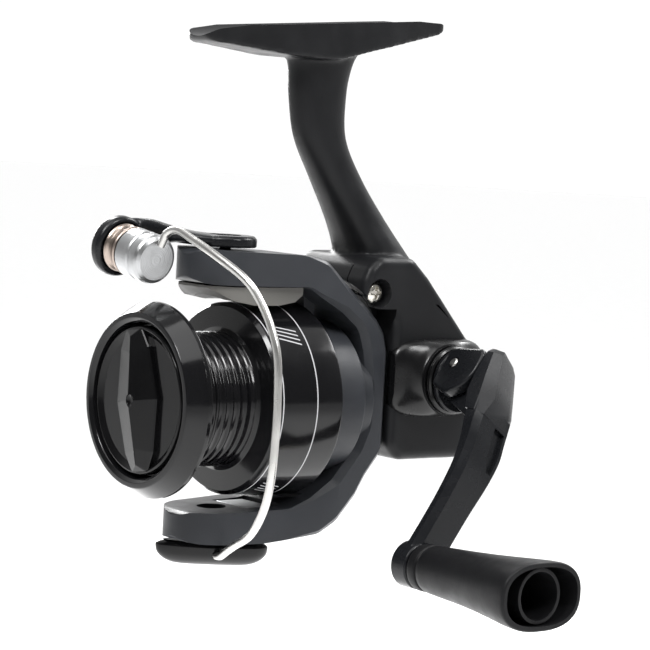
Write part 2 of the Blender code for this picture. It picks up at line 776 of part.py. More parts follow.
ROTOR_OUTER = [
    (-31.0, 30.2),
    (-8.0, 29.6),
    (-3.0, 28.4),
    (2.2, 23.8),
    (7.4, 19.4),
    (10.5, 16.6),
    (12.4, 14.0),
    (13.5, 10.0),
    (13.5, -9.4),
    (12.8, -11.2),
    (9.4, -15.4),
    (7.2, -19.2),
    (2.6, -24.3),
    (-1.8, -26.7),
    (-15.0, -28.1),
    (-31.0, -28.2),
]
ROTOR_INNER = [
    (-31.0, -22.0),
    (-20.0, -21.7),
    (-9.5, -21.3),
    (-4.5, -19.4),
    (1.0, -15.8),
    (6.2, -9.6),
    (8.3, -5.0),
    (8.5, 3.0),
    (7.4, 10.4),
    (5.8, 14.8),
    (1.4, 18.2),
    (-4.6, 21.4),
    (-7.5, 23.2),
    (-31.0, 23.3),
]


BAIL_RELIEF = [  # in X and Y: room on the upper arm's left for the open bail's roller
    (-40.0, -17.5),
    (-9.2, -17.5),
    (-7.6, -13.5),
    (-5.2, -9.5),
    (-3.9, -4.0),
    (-4.4, 1.0),
    (-9.0, 8.0),
    (-40.0, 8.0),
]


def rotor():
    made = plate("rotor", ROTOR_OUTER + ROTOR_INNER, (-ARM_HALF, ARM_HALF), ROTOR)
    bevel(made, 0.9, 1, 50)
    tip = arc((0, BAIL_Y), ARM_TIP_R, 184, 356, 16)
    plan = tip + [(ARM_HALF, 2), (ARM_HALF, 20), (-ARM_HALF, 20), (-ARM_HALF, 2)]
    keep_inside(made, plate("rotor_plan", plan, (-40, 40), ROTOR, "Z"))
    cup = [(12.8, 9.4), (12.8, 4.5), (16.0, 4.5), (16.0, -16.4), (15.4, -17.0)]
    cup += [(PINION_BORE, -17.0), (PINION_BORE, -14.6), (14.4, -14.6), (14.4, 2.9)]
    cup += [(10.2, 2.9), (10.2, 9.4)]
    weld(
        made,
        turned("rotor_cup", cup, ROTOR, steps=36),
        block("rotor_rib_low", (-4, -3.4, -23), (4, -0.6, -14.9), ROTOR),
        block("rotor_rib_high", (-4, -3.4, 14.9), (4, -0.6, 22.5), ROTOR),
    )
    carve(
        made,
        rod("rotor_neck_hole", 9.8, (5, 20), ROTOR, sides=32),
        ring("rotor_spool_space", 15.98, SPOOL_SPACE_R, (-45, -3.7), ROTOR, steps=36),
        rod("rotor_hollow", 14.3, (-14.5, 2.8), ROTOR, sides=36),
        block("rotor_spring_room", (-4.9, -27, 20), (6.5, -12.6, 28.0), ROTOR),
        block("rotor_trip_slot", (-3.7, -13, 23.7), (-0.9, 5, 25.9), ROTOR),
        plate("rotor_bail_relief", BAIL_RELIEF, (22.9, 40), ROTOR, "Z"),
        rod("rotor_bail_hole_high", 1.7, (20, 35), ROTOR, "Z", (0, BAIL_Y, 0), 16),
        rod("rotor_bail_hole_low", 1.6, (-35, -20), ROTOR, "Z", (0, BAIL_Y, 0), 16),
        rod("rotor_screw_room_low", 3.0, (-26.2, -15), ROTOR, "Z", (0, BAIL_Y, 0), 20),
        block("rotor_weight_room", (-6, -16.5, -26), (6, -8.5, -15), ROTOR),
        rod("rotor_cover_screw_hole", 1.1, (20, 26.4), ROTOR, "Z", (0, -9.6, 0), 12),
    )
    finish(made, ROTOR_GREY)

    hexagon = [(5.4 * math.cos(k * math.pi / 3), 5.4 * math.sin(k * math.pi / 3)) for k in range(6)]
    nut = plate("rotor_nut", hexagon, (-19.5, -17.3), ROTOR, "Y")
    carve(nut, rod("rotor_nut_bore", PINION_BORE, (-22, -15), ROTOR))
    finish(nut, BRASS)
    weight = block("balance_weight", (-5.7, -16.2, -25.7), (5.7, -8.8, -21.6), ROTOR)
    finish(bevel(weight, 0.4), ZINC)


def bail_arm_mechanism():
    section = [(-8.4, 23.0), (-8.4, 22.2), (-3.4, 20.95), (3.4, 20.95), (8.4, 22.2), (8.4, 23.0)]
    cover = plate("bail_arm_cover", section, (-28.4, -7.6), ROTOR, "Y")
    tip = arc((0, BAIL_Y), 8.9, 184, 356, 16)
    plan = [*tip, (8.4, BAIL_Y), (8.4, -7.6), (-8.4, -7.6), (-8.4, BAIL_Y)]
    keep_inside(cover, plate("arm_cover_plan", plan, (10, 40), ROTOR, "Z"))
    carve(
        cover,
        block("arm_cover_tip", (-12, -42, 16), (12, -26.5, 22.6), ROTOR, (math.radians(-22), 0, 0)),
        rod("arm_cover_screw_seat", 2.1, (15, 22.0), ROTOR, "Z", (0, -9.6, 0), 20),
        rod("arm_cover_screw_hole", 1.1, (15, 26), ROTOR, "Z", (0, -9.6, 0), 12),
    )
    finish(cover, ROTOR_GREY)
    screw("arm_cover_screw", STEEL, ROTOR, (0, -9.6, 21.8), (0, 0, 1), (1.7, 0.8), (0.75, 3.8))
    coil = [(x + 3.2, y - 23.5, z + 25.7) for x, y, z in helix(1.6, 5, 10.5, 6)]
    finish(wire("bail_spring", coil, 0.3, ROTOR, 1), STEEL)
    trip = block("bail_trip_lever", (-3.4, -19.0, 24.0), (-1.2, 2.4, 25.6), ROTOR)
    finish(bevel(trip, 0.3), NYLON)


def lever_ring(distance, height, half_wide, half_high, outwards):
    """One section of the lever, square to its run from the pivot to the disc."""
    run = Vector((LEVER_END.x, LEVER_END.y, 0)).normalized()
    side = Vector((-run.y, run.x, 0))
    centre = run * distance - side * outwards + Vector((0, 0, height))
    corners = oval(half_wide, half_high, 4.0, 16)
    return [centre + side * u + Vector((0, 0, v)) for u, v in corners]


def bail_lever():
    sections = [(0, 31.75, 5.6, 1.1, 0), (6, 31.9, 5.2, 1.35, 0), (11, 32.35, 3.5, 1.8, 0.8)]
    sections += [(14.5, 31.4, 2.3, 3.6, 2.2), (17.5, 30.2, 1.6, 4.9, 3.1), (19.8, 29.4, 1.1, 5.6, 2.2)]
    lever = loft("bail_lever", [lever_ring(*section) for section in sections], BAIL)
    hub = rod("bail_lever_hub", 6.3, (30.5, 32.9), BAIL, "Z", sides=28)
    disc = [(0, 0.4), (5.5, 0.4), (6.1, -0.2), (6.1, -1.8), (5.2, -2.6), (0, -2.6)]
    weld(lever, hub, turned("bail_lever_disc", disc, ROLLER, "Z", 28))
    carve(
        lever,
        rod("bail_lever_roller_room", 5.3, (-0.2, 14), ROLLER, "Z", sides=32),
        rod("bail_lever_screw_hole", 1.2, (-8, 2), ROLLER, "Z", sides=16),
        rod("bail_lever_pivot_hole", 1.6, (28, 36), BAIL, "Z", sides=20),
        rod("bail_lever_screw_seat", 3.2, (31.6, 36), BAIL, "Z", sides=24),
    )
    finish(lever, SATIN_BLACK)
    screw("bail_lever_screw", SATIN_BLACK, BAIL, (0, 0, 31.9), (0, 0, -1), (2.8, 0.8), (1.3, 3.8))
    roller_screw = screw("roller_screw", STEEL, ROLLER, (0, 0, -2.9), (0, 0, 1), (2.0, 0.9), (0.9, 10.0))
    roller_screw.rotation_euler = (math.pi, 0, 0)
    finish(ring("roller_bush", 1.2, 2.2, (0.5, 3.7), ROLLER, "Z", 20), NYLON)
    groove = [(2.5, 3.8), (4.8, 3.8), (4.9, 3.4), (4.2, 2.1), (4.9, 0.8), (4.8, 0.4), (2.5, 0.4)]
    finish(turned("line_roller", groove, ROLLER, "Z", 24), COPPER_TAN)


WIRE_ROUTE = [  # from the cone cap, over the front of the spool's side, to the lower arm
    (1.2, -37.6, 30.4),
    (2.6, -37.2, 32.9),
    (5.6, -36.8, 33.8),
    (10.4, -36.5, 32.3),
    (18.1, -36.0, 29.5),
    (25.0, -34.5, 25.9),
    (28.4, -33.2, 22.0),
    (31.2, -32.4, 17.1),
    (33.2, -32.0, 11.4),
    (33.8, -31.9, 2.4),
    (33.7, -31.9, -3.6),
    (33.0, -31.8, -11.2),
    (30.0, -30.9, -17.8),
    (23.2, -28.5, -23.6),
    (15.2, -25.9, -27.0),
    (10.9, -24.6, -28.9),
    (7.0, -23.2, -30.6),
    (4.6, -22.5, -31.0),
]


def bail_loop():
    shift = Vector((0, -BAIL_Y, 0))
    path = [point + shift for point in smooth_path(WIRE_ROUTE)]
    cap_profile = [(0, 11.6), (4.0, 11.6), (4.9, 11.0), (4.9, 8.9), (4.7, 8.4), (4.9, 4.2), (1.3, 4.2)]
    cap_profile += [(1.3, 7.8), (0, 7.8)]
    cap = turned("roller_cone_cap", cap_profile, ROLLER, "Z", 24)
    carve(cap, meshed(wire("cap_wire_socket", path[:4], 1.1, BAIL, 1)))
    finish(cap, ALUMINIUM)
    finish(wire("bail_wire", path, 0.8, BAIL), STEEL)

    run = math.atan2(0.85, 0.53)
    rings = []
    for z, half_long, half_wide, power in (
        (-28.6, 10.2, 4.3, 1.6),
        (-29.4, 11.2, 4.7, 1.6),
        (-31.2, 11.0, 4.4, 1.7),
        (-33.4, 7.6, 1.8, 1.9),
    ):
        rings.append([(u, v, z) for u, v in oval(half_long, half_wide, power, 24)])
    arm = loft("bail_arm_low", rings, BAIL, (0.6, 0.2, 0), (0, 0, run))
    carve(
        arm,
        meshed(wire("arm_wire_socket", path[-6:], 1.1, BAIL, 1)),
        rod("arm_low_screw_hole", 1.5, (-32.4, -20), BAIL, "Z", sides=16),
    )
    finish(arm, GLOSS_BLACK)
    screw("bail_arm_low_screw", STEEL, BAIL, (0, 0, -25.8), (0, 0, -1), (2.5, 1.2), (1.15, 6.0))


# Crank

def handle_root():
    root = rod("handle_root", 6.6, (18.6, 19.9), CRANK, "X", sides=36)
    cheek = [(19.4, -6.2), (FOLD_X, -6.2), *arc((FOLD_X, FOLD_Z), 7.0, -75, 88, 14), (19.4, 7.0)]
    for i, side in enumerate((-1, 1)):
        span = sorted((3.6 * side, 6.3 * side))
        weld(root, bevel(plate(f"root_cheek_{i}", cheek, span, CRANK, "Y"), 0.5))
    weld(root, rod("root_drive_rod", DRIVE_ROD_R, (-20.3, 19.2), CRANK, "X", sides=16))
    carve(root, rod("root_pin_hole", 1.3, (-9, 9), CRANK, "Y", (FOLD_X, 0, FOLD_Z), 16))
    finish(root, SATIN_BLACK)
    finish(rod("fold_pin", 1.0, (-6.5, 6.5), CRANK, "Y", (FOLD_X, 0, FOLD_Z), 16), STEEL)

    cap_profile = [(0, -17.4), (7.0, -17.4), (7.2, -18.0), (7.2, -20.4), (6.2, -21.6), (0, -21.8)]
    cap = turned("handle_screw_cap", cap_profile, CRANK, "X", 24)
    carve(cap, rod("screw_cap_bore", DRIVE_ROD_R + GAP, (-20.7, -15), CRANK, "X", sides=16))
    flutes = 8
    for k in range(flutes):
        turn = 2 * math.pi * k / flutes
        at = (0, 7.8 * math.cos(turn), 7.8 * math.sin(turn))
        carve(cap, rod(f"screw_cap_flute_{k}", 1.0, (-22.5, -17), CRANK, "X", at, 8))
    finish(cap, SATIN_BLACK)


ARM_HOOD = (  # height from the crank's axis, then X and Y round the section
    (5.6, (30.4, -5.7), (31.4, -5.7), (33.4, -4.9), (31.9, -1.2), (31.0, 1.0), (30.4, 1.0)),
    (4.6, (30.2, -6.3), (32.0, -6.3), (34.2, -5.5), (31.7, 0.5), (30.9, 2.6), (30.2, 2.6)),
    (-1.0, (30.2, -6.3), (33.4, -6.3), (35.8, -4.6), (34.0, 2.0), (32.5, 4.6), (30.2, 4.6)),
    (-4.6, (30.6, -6.2), (34.4, -6.2), (37.0, -4.0), (35.8, 2.2), (34.6, 4.6), (30.6, 4.6)),
    (-8.6, (32.6, -6.0), (35.2, -6.0), (37.0, -4.6), (36.8, 3.0), (36.0, 4.4), (32.6, 4.4)),
)
ARM_BLADE = (  # distance from the crank's axis, inner X, outer X, middle Y, half width
    (6.0, 32.6, 36.2, -0.9, 5.0),
    (10.5, 33.6, 37.4, -0.7, 5.1),
    (14.5, 35.0, 38.2, -0.2, 5.1),
    (20.0, 36.1, 38.8, 0.0, 4.7),
    (27.0, 36.4, 38.9, 0.0, 4.3),
    (34.0, 36.4, 38.9, 0.0, 4.2),
    (CRANK_RADIUS, 36.2, 38.9, 0.0, 4.2),
)


def blade_ring(distance, inner, outer, middle, half):
    """One section of the arm's blade, with the chamfer on its leading outer edge."""
    section = [(inner, -half), (outer - 1.2, -half), (outer, -half + 1.4), (outer, half - 0.6)]
    section += [(outer - 0.6, half), (inner, half)]
    return [(x, middle + y, -distance) for x, y in section]


def crank_arm():
    """The arm, drawn with its fold pin at FOLD_X and FOLD_Z and its knob's eye straight below."""
    tongue = [(20.5, -1.6), (20.5, 2.2), (FOLD_X, 3.0), (30.6, 3.0), (34.4, -4.0), (34.4, -8.2)]
    tongue += [(31.5, -9.2), (24.8, -6.8), (21.6, -3.6)]
    arm = plate("crank_arm", tongue, (-3.3, 3.3), CRANK, "Y")
    hood = [[(x, y, height) for x, y in section] for height, *section in ARM_HOOD]
    weld(
        arm,
        loft("arm_hood", hood, CRANK, smooth=False),
        loft("arm_blade", [blade_ring(*row) for row in ARM_BLADE], CRANK),
        rod("arm_eye", 4.6, (34.5, 38.9), CRANK, "X", (0, 0, -CRANK_RADIUS), 32),
    )
    carve(
        arm,
        rod("arm_pin_hole", 1.3, (-5, 5), CRANK, "Y", (FOLD_X, 0, FOLD_Z), 16),
        rod("arm_eye_hole", 1.9, (30, 42), CRANK, "X", (0, 0, -CRANK_RADIUS), 20),
    )
    finish(arm, SATIN_BLACK)


KNOB_RINGS = (  # x, half width across, half height, squareness
    (39.3, 4.3, 4.3, 2.0),
    (40.4, 4.7, 4.7, 2.0),
    (41.6, 4.7, 4.7, 2.0),
    (42.0, 4.35, 4.35, 2.0),
    (42.5, 4.8, 4.8, 2.0),
    (52.0, 5.9, 5.2, 2.1),
    (62.0, 8.0, 5.9, 2.3),
    (70.0, 9.7, 6.5, 2.5),
    (72.4, 10.0, 6.6, 2.5),
    (73.2, 9.5, 6.2, 2.5),
)


def knob_ring(x, half_y, half_z, power):
    return [(x, y, z) for y, z in oval(half_y, half_z, power, 28)]


def handle_knob():
    knob = loft("handle_knob", [knob_ring(*row) for row in KNOB_RINGS], KNOB)
    wall_y, wall_z = 1.2, 1.7
    pocket = [knob_ring(x, y - wall_y, z - wall_z, power) for x, y, z, power in KNOB_RINGS[6:9]]
    pocket.append([(80.0, y, z) for _, y, z in pocket[-1]])
    carve(knob, loft("knob_pocket", pocket, KNOB))
    weld(knob, rod("knob_tube", 5.3, (58, 72.6), KNOB, "X", sides=28))
    carve(
        knob,
        rod("knob_bore", 4.1, (52.0, 80), KNOB, "X"),
        rod("knob_spindle_hole", 1.9, (30, 60), KNOB, "X", sides=20),
    )
    finish(knob, SOFT_BLACK)
    spindle = [(0, 54.0), (2.4, 54.0), (3.2, 53.4), (3.2, 52.3), (1.5, 52.3), (1.5, 34.2)]
    spindle += [(2.9, 34.2), (2.9, 33.6), (2.2, 33.0), (0, 33.0)]
    made = turned("knob_spindle", spindle, KNOB, "X", 18)
    carve(made, block("spindle_slot", (53.4, -0.3, -1.8), (55, 0.3, 1.8), KNOB))
    finish(made, BRASS)


def build():
    housing()
    drive_train()
    pinion()
    main_shaft()
    spool_and_drag()
    drag_knob()
    rotor()
    bail_arm_mechanism()
    bail_lever()
    bail_loop()
    handle_root()
    crank_arm()
    handle_knob()


build()
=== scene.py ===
"""Looks for the spinning reel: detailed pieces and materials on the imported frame."""

import json
import math

import bmesh
import bpy
from mathutils import Euler, Matrix, Vector


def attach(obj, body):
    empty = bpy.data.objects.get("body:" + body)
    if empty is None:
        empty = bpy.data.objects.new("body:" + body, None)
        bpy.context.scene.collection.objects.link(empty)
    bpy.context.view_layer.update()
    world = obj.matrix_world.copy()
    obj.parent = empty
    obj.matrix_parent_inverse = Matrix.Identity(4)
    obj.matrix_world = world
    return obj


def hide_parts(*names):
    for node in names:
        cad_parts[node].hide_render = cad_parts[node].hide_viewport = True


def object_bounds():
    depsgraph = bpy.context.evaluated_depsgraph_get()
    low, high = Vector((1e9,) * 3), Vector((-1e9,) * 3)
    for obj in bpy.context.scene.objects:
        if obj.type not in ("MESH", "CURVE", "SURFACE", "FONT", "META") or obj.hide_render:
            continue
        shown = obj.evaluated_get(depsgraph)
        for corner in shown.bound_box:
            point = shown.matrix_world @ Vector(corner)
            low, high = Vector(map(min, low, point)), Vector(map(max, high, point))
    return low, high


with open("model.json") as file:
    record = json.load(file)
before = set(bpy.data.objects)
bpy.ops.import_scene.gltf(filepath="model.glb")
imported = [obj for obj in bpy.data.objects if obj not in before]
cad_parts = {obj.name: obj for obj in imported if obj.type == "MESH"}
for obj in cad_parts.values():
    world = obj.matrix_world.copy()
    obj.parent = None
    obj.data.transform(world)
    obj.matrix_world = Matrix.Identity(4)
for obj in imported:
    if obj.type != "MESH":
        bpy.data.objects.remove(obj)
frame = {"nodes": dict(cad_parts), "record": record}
CAD_BOX = [list(corner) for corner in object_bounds()]

MM = 0.001
UP = Vector((0, 0, 1))

# Frames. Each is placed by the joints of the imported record.

JOINTS = {joint["name"]: joint for joint in frame["record"]["behaviour"]["joints"]}


def joint_at(name):
    return Vector(JOINTS[name]["pos_m"])


SPOOL_AXIS = joint_at("rotor_spin")
CRANK_AXIS = joint_at("handle_crank")
FOOT_AXIS = Vector(frame["record"]["mounts"][0]["axis"])
FOLD_AXIS = -Vector(JOINTS["handle_fold"]["axis"])
CRANK_ANGLE = math.atan2(-FOLD_AXIS.z, FOLD_AXIS.y)
REEL = Matrix.Translation(SPOOL_AXIS)
FOOT = Matrix.Rotation(math.atan2(-FOOT_AXIS.y, FOOT_AXIS.z), 4, "X")
BAIL = Matrix.Translation(joint_at("bail_open"))
BAIL.translation.z = SPOOL_AXIS.z
ROLLER = Matrix.Translation(joint_at("line_roller_spin"))
ROLLER_AXIS = Vector(JOINTS["line_roller_spin"]["axis"])
ROLLER @= UP.rotation_difference(ROLLER_AXIS).to_matrix().to_4x4()
CRANK = Matrix.Translation(CRANK_AXIS) @ Matrix.Rotation(-CRANK_ANGLE, 4, "X")
KNOB = Matrix.Translation(joint_at("knob_spin"))
KNOB.translation.x = 0
CRANK_AT = (0, (CRANK_AXIS - SPOOL_AXIS).y / MM, (CRANK_AXIS - SPOOL_AXIS).z / MM)
CRANK_RADIUS = (joint_at("knob_spin") - CRANK_AXIS).yz.length / MM

AXIS_TURN = {
    "X": Matrix.Rotation(math.pi / 2, 4, "Y"),
    "Y": Matrix.Rotation(-math.pi / 2, 4, "X"),
    "Z": Matrix.Identity(4),
}
PLATE_TURN = {
    "X": Euler((math.pi / 2, 0, math.pi / 2)).to_matrix().to_4x4(),
    "Y": Matrix.Rotation(math.pi / 2, 4, "X"),
    "Z": Matrix.Identity(4),
}


def moved(matrix, at=(0, 0, 0), turn=None):
    made = matrix @ Matrix.Translation(Vector(at) * MM)
    return made @ turn if turn else made


# Mesh tools. Sizes are in millimetres, and objects are placed by a matrix in metres.


def add_object(name, mesh, matrix):
    made = bpy.data.objects.new(name, mesh)
    bpy.context.scene.collection.objects.link(made)
    made.matrix_world = matrix
    return made


def from_bmesh(name, shape, matrix, sharp=30):
    bmesh.ops.remove_doubles(shape, verts=shape.verts, dist=1e-7)
    bmesh.ops.recalc_face_normals(shape, faces=shape.faces)
    mesh = bpy.data.meshes.new(name)
    shape.to_mesh(mesh)
    shape.free()
    shade(mesh, sharp)
    return add_object(name, mesh, matrix)


def shade(mesh, sharp=30):
    if "custom_normal" in mesh.attributes:
        mesh.attributes.remove(mesh.attributes["custom_normal"])
    mesh.shade_smooth()
    mesh.set_sharp_from_angle(angle=math.radians(sharp))


def bake(obj, sharp=30):
    """Replaces the object's mesh with what its modifiers make of it."""
    graph = bpy.context.evaluated_depsgraph_get()
    mesh = bpy.data.meshes.new_from_object(obj.evaluated_get(graph))
    obj.modifiers.clear()
    old = obj.data
    obj.data = mesh
    if old.users == 0:
        bpy.data.meshes.remove(old)
    shade(mesh, sharp)
    return obj


def boolean(target, helpers, operation):
    for helper in helpers:
        modifier = target.modifiers.new(helper.name, "BOOLEAN")
        modifier.operation = operation
        modifier.solver = "EXACT"
        modifier.object = helper
    bake(target)
    for helper in helpers:
        bpy.data.objects.remove(helper)
    return target


def carve(target, *helpers):
    return boolean(target, helpers, "DIFFERENCE")


def weld(target, *helpers):
    return boolean(target, helpers, "UNION")


def keep_inside(target, *helpers):
    return boolean(target, helpers, "INTERSECT")


def soften(obj, width, segments=2, angle=30):
    """Rounds the edges by a small bevel that keeps the flats flat."""
    modifier = obj.modifiers.new("bevel", "BEVEL")
    modifier.width = width * MM
    modifier.segments = segments
    modifier.limit_method = "ANGLE"
    modifier.angle_limit = math.radians(angle)
    modifier.miter_outer = "MITER_ARC"
    return obj


def cast(obj, voxel, rounds):
    """Blends a body of joined shapes into one casting with soft fillets."""
    remesh = obj.modifiers.new("remesh", "REMESH")
    remesh.mode = "VOXEL"
    remesh.voxel_size = voxel * MM
    relax = obj.modifiers.new("relax", "SMOOTH")
    relax.factor = 0.5
    relax.iterations = rounds
    return bake(obj, 60)


def rounded(points, radius, closed=False, steps=4, least=12):
    """A polyline whose corners are rounded off."""
    count = len(points)
    result = []
    for i, point in enumerate(points):
        here = Vector(point)
        if not closed and i in (0, count - 1):
            result.append(tuple(here))
            continue
        before, after = Vector(points[i - 1]), Vector(points[(i + 1) % count])
        back, ahead = before - here, after - here
        if back.length < 1e-6 or ahead.length < 1e-6:
            result.append(tuple(here))
            continue
        bend = math.degrees(back.angle(-ahead))
        if bend < least:
            result.append(tuple(here))
            continue
        reach = radius * math.tan(math.radians(bend) / 2)
        reach = min(reach, back.length * 0.45, ahead.length * 0.45)
        start, end = here + back.normalized() * reach, here + ahead.normalized() * reach
        for k in range(steps + 1):
            t = k / steps
            result.append(tuple(start * (1 - t) ** 2 + here * 2 * t * (1 - t) + end * t**2))
    return result


def smooth_path(points, per_span=6):
    """Points on a Catmull-Rom curve through the given ones."""
    knots = [Vector(p) for p in points]
    knots = [2 * knots[0] - knots[1], *knots, 2 * knots[-1] - knots[-2]]
    path = []
    for i in range(1, len(knots) - 2):
        a, b, c, d = knots[i - 1 : i + 3]
        for step in range(per_span):
            t = step / per_span
            path.append(
                0.5 * (2 * b + (c - a) * t + (2 * a - 5 * b + 4 * c - d) * t**2)
                + 0.5 * (3 * b - a - 3 * c + d) * t**3
            )
    path.append(knots[-2])
    return path


def turned(name, profile, matrix, axis="Y", steps=96, corner=0.2, at=(0, 0, 0), sharp=40):
    """A profile of (radius, distance along the axis) turned about the axis."""
    closed = not (profile[0][0] == 0 and profile[-1][0] == 0)
    line = rounded(profile, corner, closed) if corner else profile
    shape = bmesh.new()
    rows = []
    for radius, along in line:
        if radius < 1e-5:
            rows.append([shape.verts.new((0, 0, along * MM))] * steps)
            continue
        row = []
        for k in range(steps):
            turn = 2 * math.pi * k / steps
            across, up = radius * math.cos(turn) * MM, radius * math.sin(turn) * MM
            row.append(shape.verts.new((across, up, along * MM)))
        rows.append(row)
    pairs = list(zip(rows, rows[1:]))
    if closed:
        pairs.append((rows[-1], rows[0]))
    for near, far in pairs:
        for i in range(steps):
            j = (i + 1) % steps
            corners = []
            for vert in (near[i], near[j], far[j], far[i]):
                if vert not in corners:
                    corners.append(vert)
            if len(corners) > 2:
                shape.faces.new(corners)
    return from_bmesh(name, shape, moved(matrix, at, AXIS_TURN[axis]), sharp)


def rod(name, radius, span, matrix, axis="Y", at=(0, 0, 0), steps=48, end=None):
    """A round bar, or a cone when the radius at its far end is given."""
    low, high = span
    top = radius if end is None else end
    profile = [(0, high), (top, high), (radius, low), (0, low)]
    return turned(name, profile, matrix, axis, steps, 0, at)


def ring(name, inner, outer, span, matrix, steps=64, corner=0.25):
    low, high = span
    profile = [(inner, high), (outer, high), (outer, low), (inner, low)]
    return turned(name, profile, matrix, "Y", steps, corner)


def block(name, low, high, matrix):
    low, high = Vector(low), Vector(high)
    shape = bmesh.new()
    bmesh.ops.create_cube(shape, size=1, matrix=Matrix.Diagonal((*((high - low) * MM), 1)))
    return from_bmesh(name, shape, moved(matrix, (low + high) / 2))


def plate(name, outline, span, matrix, axis="X", corner=0):
    """An outline given its thickness along the axis."""
    low, high = span
    if corner:
        outline = rounded(outline, corner, True)
    shape = bmesh.new()
    face = shape.faces.new([shape.verts.new((u * MM, v * MM, low * MM)) for u, v in outline])
    made = bmesh.ops.extrude_face_region(shape, geom=[face])
    top = [item for item in made["geom"] if isinstance(item, bmesh.types.BMVert)]
    bmesh.ops.translate(shape, verts=top, vec=(0, 0, (high - low) * MM))
    if axis == "Y":  # the plate's own axis points the other way there
        bmesh.ops.translate(shape, verts=shape.verts, vec=(0, 0, -(low + high) * MM))
    return from_bmesh(name, shape, moved(matrix, turn=PLATE_TURN[axis]))


def loft(name, rings, matrix, sharp=35):
    """A skin over rings with the same number of points, closed at both ends."""
    shape = bmesh.new()
    rows = [[shape.verts.new(Vector(point) * MM) for point in loop] for loop in rings]
    count = len(rows[0])
    for near, far in zip(rows, rows[1:]):
        for i in range(count):
            j = (i + 1) % count
            shape.faces.new((near[i], near[j], far[j], far[i]))
    shape.faces.new(rows[0])
    shape.faces.new(rows[-1])
    return from_bmesh(name, shape, matrix, sharp)


def oval(half_u, half_v, power=2.0, count=64):
    """An ellipse at power 2, and squarer above it."""
    points = []
    for i in range(count):
        turn = 2 * math.pi * (i + 0.5) / count
        c, s = math.cos(turn), math.sin(turn)
        u = half_u * math.copysign(abs(c) ** (2 / power), c)
        v = half_v * math.copysign(abs(s) ** (2 / power), s)
        points.append((u, v))
    return points


def arc(centre, radius, start, end, steps):
    cu, cv = centre
    turns = [math.radians(start + (end - start) * i / steps) for i in range(steps + 1)]
    return [(cu + radius * math.cos(t), cv + radius * math.sin(t)) for t in turns]


def wire(name, path, radius, matrix, sides=6):
    curve = bpy.data.curves.new(name, "CURVE")
    curve.dimensions = "3D"
    curve.bevel_depth = radius * MM
    curve.bevel_resolution = sides
    curve.use_fill_caps = True
    spline = curve.splines.new("POLY")
    spline.points.add(len(path) - 1)
    for point, where in zip(spline.points, path):
        point.co = (*(Vector(where) * MM), 1)
    made = add_object(name, curve, matrix)
    graph = bpy.context.evaluated_depsgraph_get()
    mesh = bpy.data.meshes.new_from_object(made.evaluated_get(graph))
    bpy.data.objects.remove(made)
    shape = bmesh.new()
    shape.from_mesh(mesh)
    return from_bmesh(name, shape, matrix, 50)


# Materials

MAP_ENDS = ("From Min", "From Max", "To Min", "To Max")
DRIFT_SCALE = 60  # how finely the colour drifts, per metre
MARK_SCALE = 240  # how finely the roughness varies
NOISE_LOW, NOISE_HIGH = 0.3, 0.7  # most of a noise texture lies between these
BUMP_DEPTH = 0.0002


class Nodes:
    """Short calls for the nodes of one material."""

    def __init__(self, material):
        self.tree = material.node_tree
        self.shader = self.tree.nodes["Principled BSDF"]

    def add(self, kind, **settings):
        node = self.tree.nodes.new(kind)
        for key, value in settings.items():
            setattr(node, key, value)
        return node

    def link(self, source, target):
        self.tree.links.new(source, target)

    def math(self, operation, a, b=0.0):
        node = self.add("ShaderNodeMath", operation=operation)
        for socket, value in zip(node.inputs, (a, b)):
            if isinstance(value, (int, float)):
                socket.default_value = value
            else:
                self.link(value, socket)
        return node.outputs[0]

    def noise(self, vector, scale, detail=3.0, rough=0.55):
        node = self.add("ShaderNodeTexNoise")
        node.inputs["Scale"].default_value = scale
        node.inputs["Detail"].default_value = detail
        node.inputs["Roughness"].default_value = rough
        self.link(vector, node.inputs["Vector"])
        return node.outputs["Fac"]

    def spread(self, value, low, high, out_low, out_high):
        node = self.add("ShaderNodeMapRange")
        for key, number in zip(MAP_ENDS, (low, high, out_low, out_high)):
            node.inputs[key].default_value = number
        self.link(value, node.inputs["Value"])
        return node.outputs["Result"]

    def mix(self, factor, first, second):
        node = self.add("ShaderNodeMix", data_type="RGBA")
        self.link(factor, node.inputs["Factor"])
        for socket, colour in ((node.inputs[6], first), (node.inputs[7], second)):
            if isinstance(colour, tuple):
                socket.default_value = (*colour, 1.0)
            else:
                self.link(colour, socket)
        return node.outputs[2]


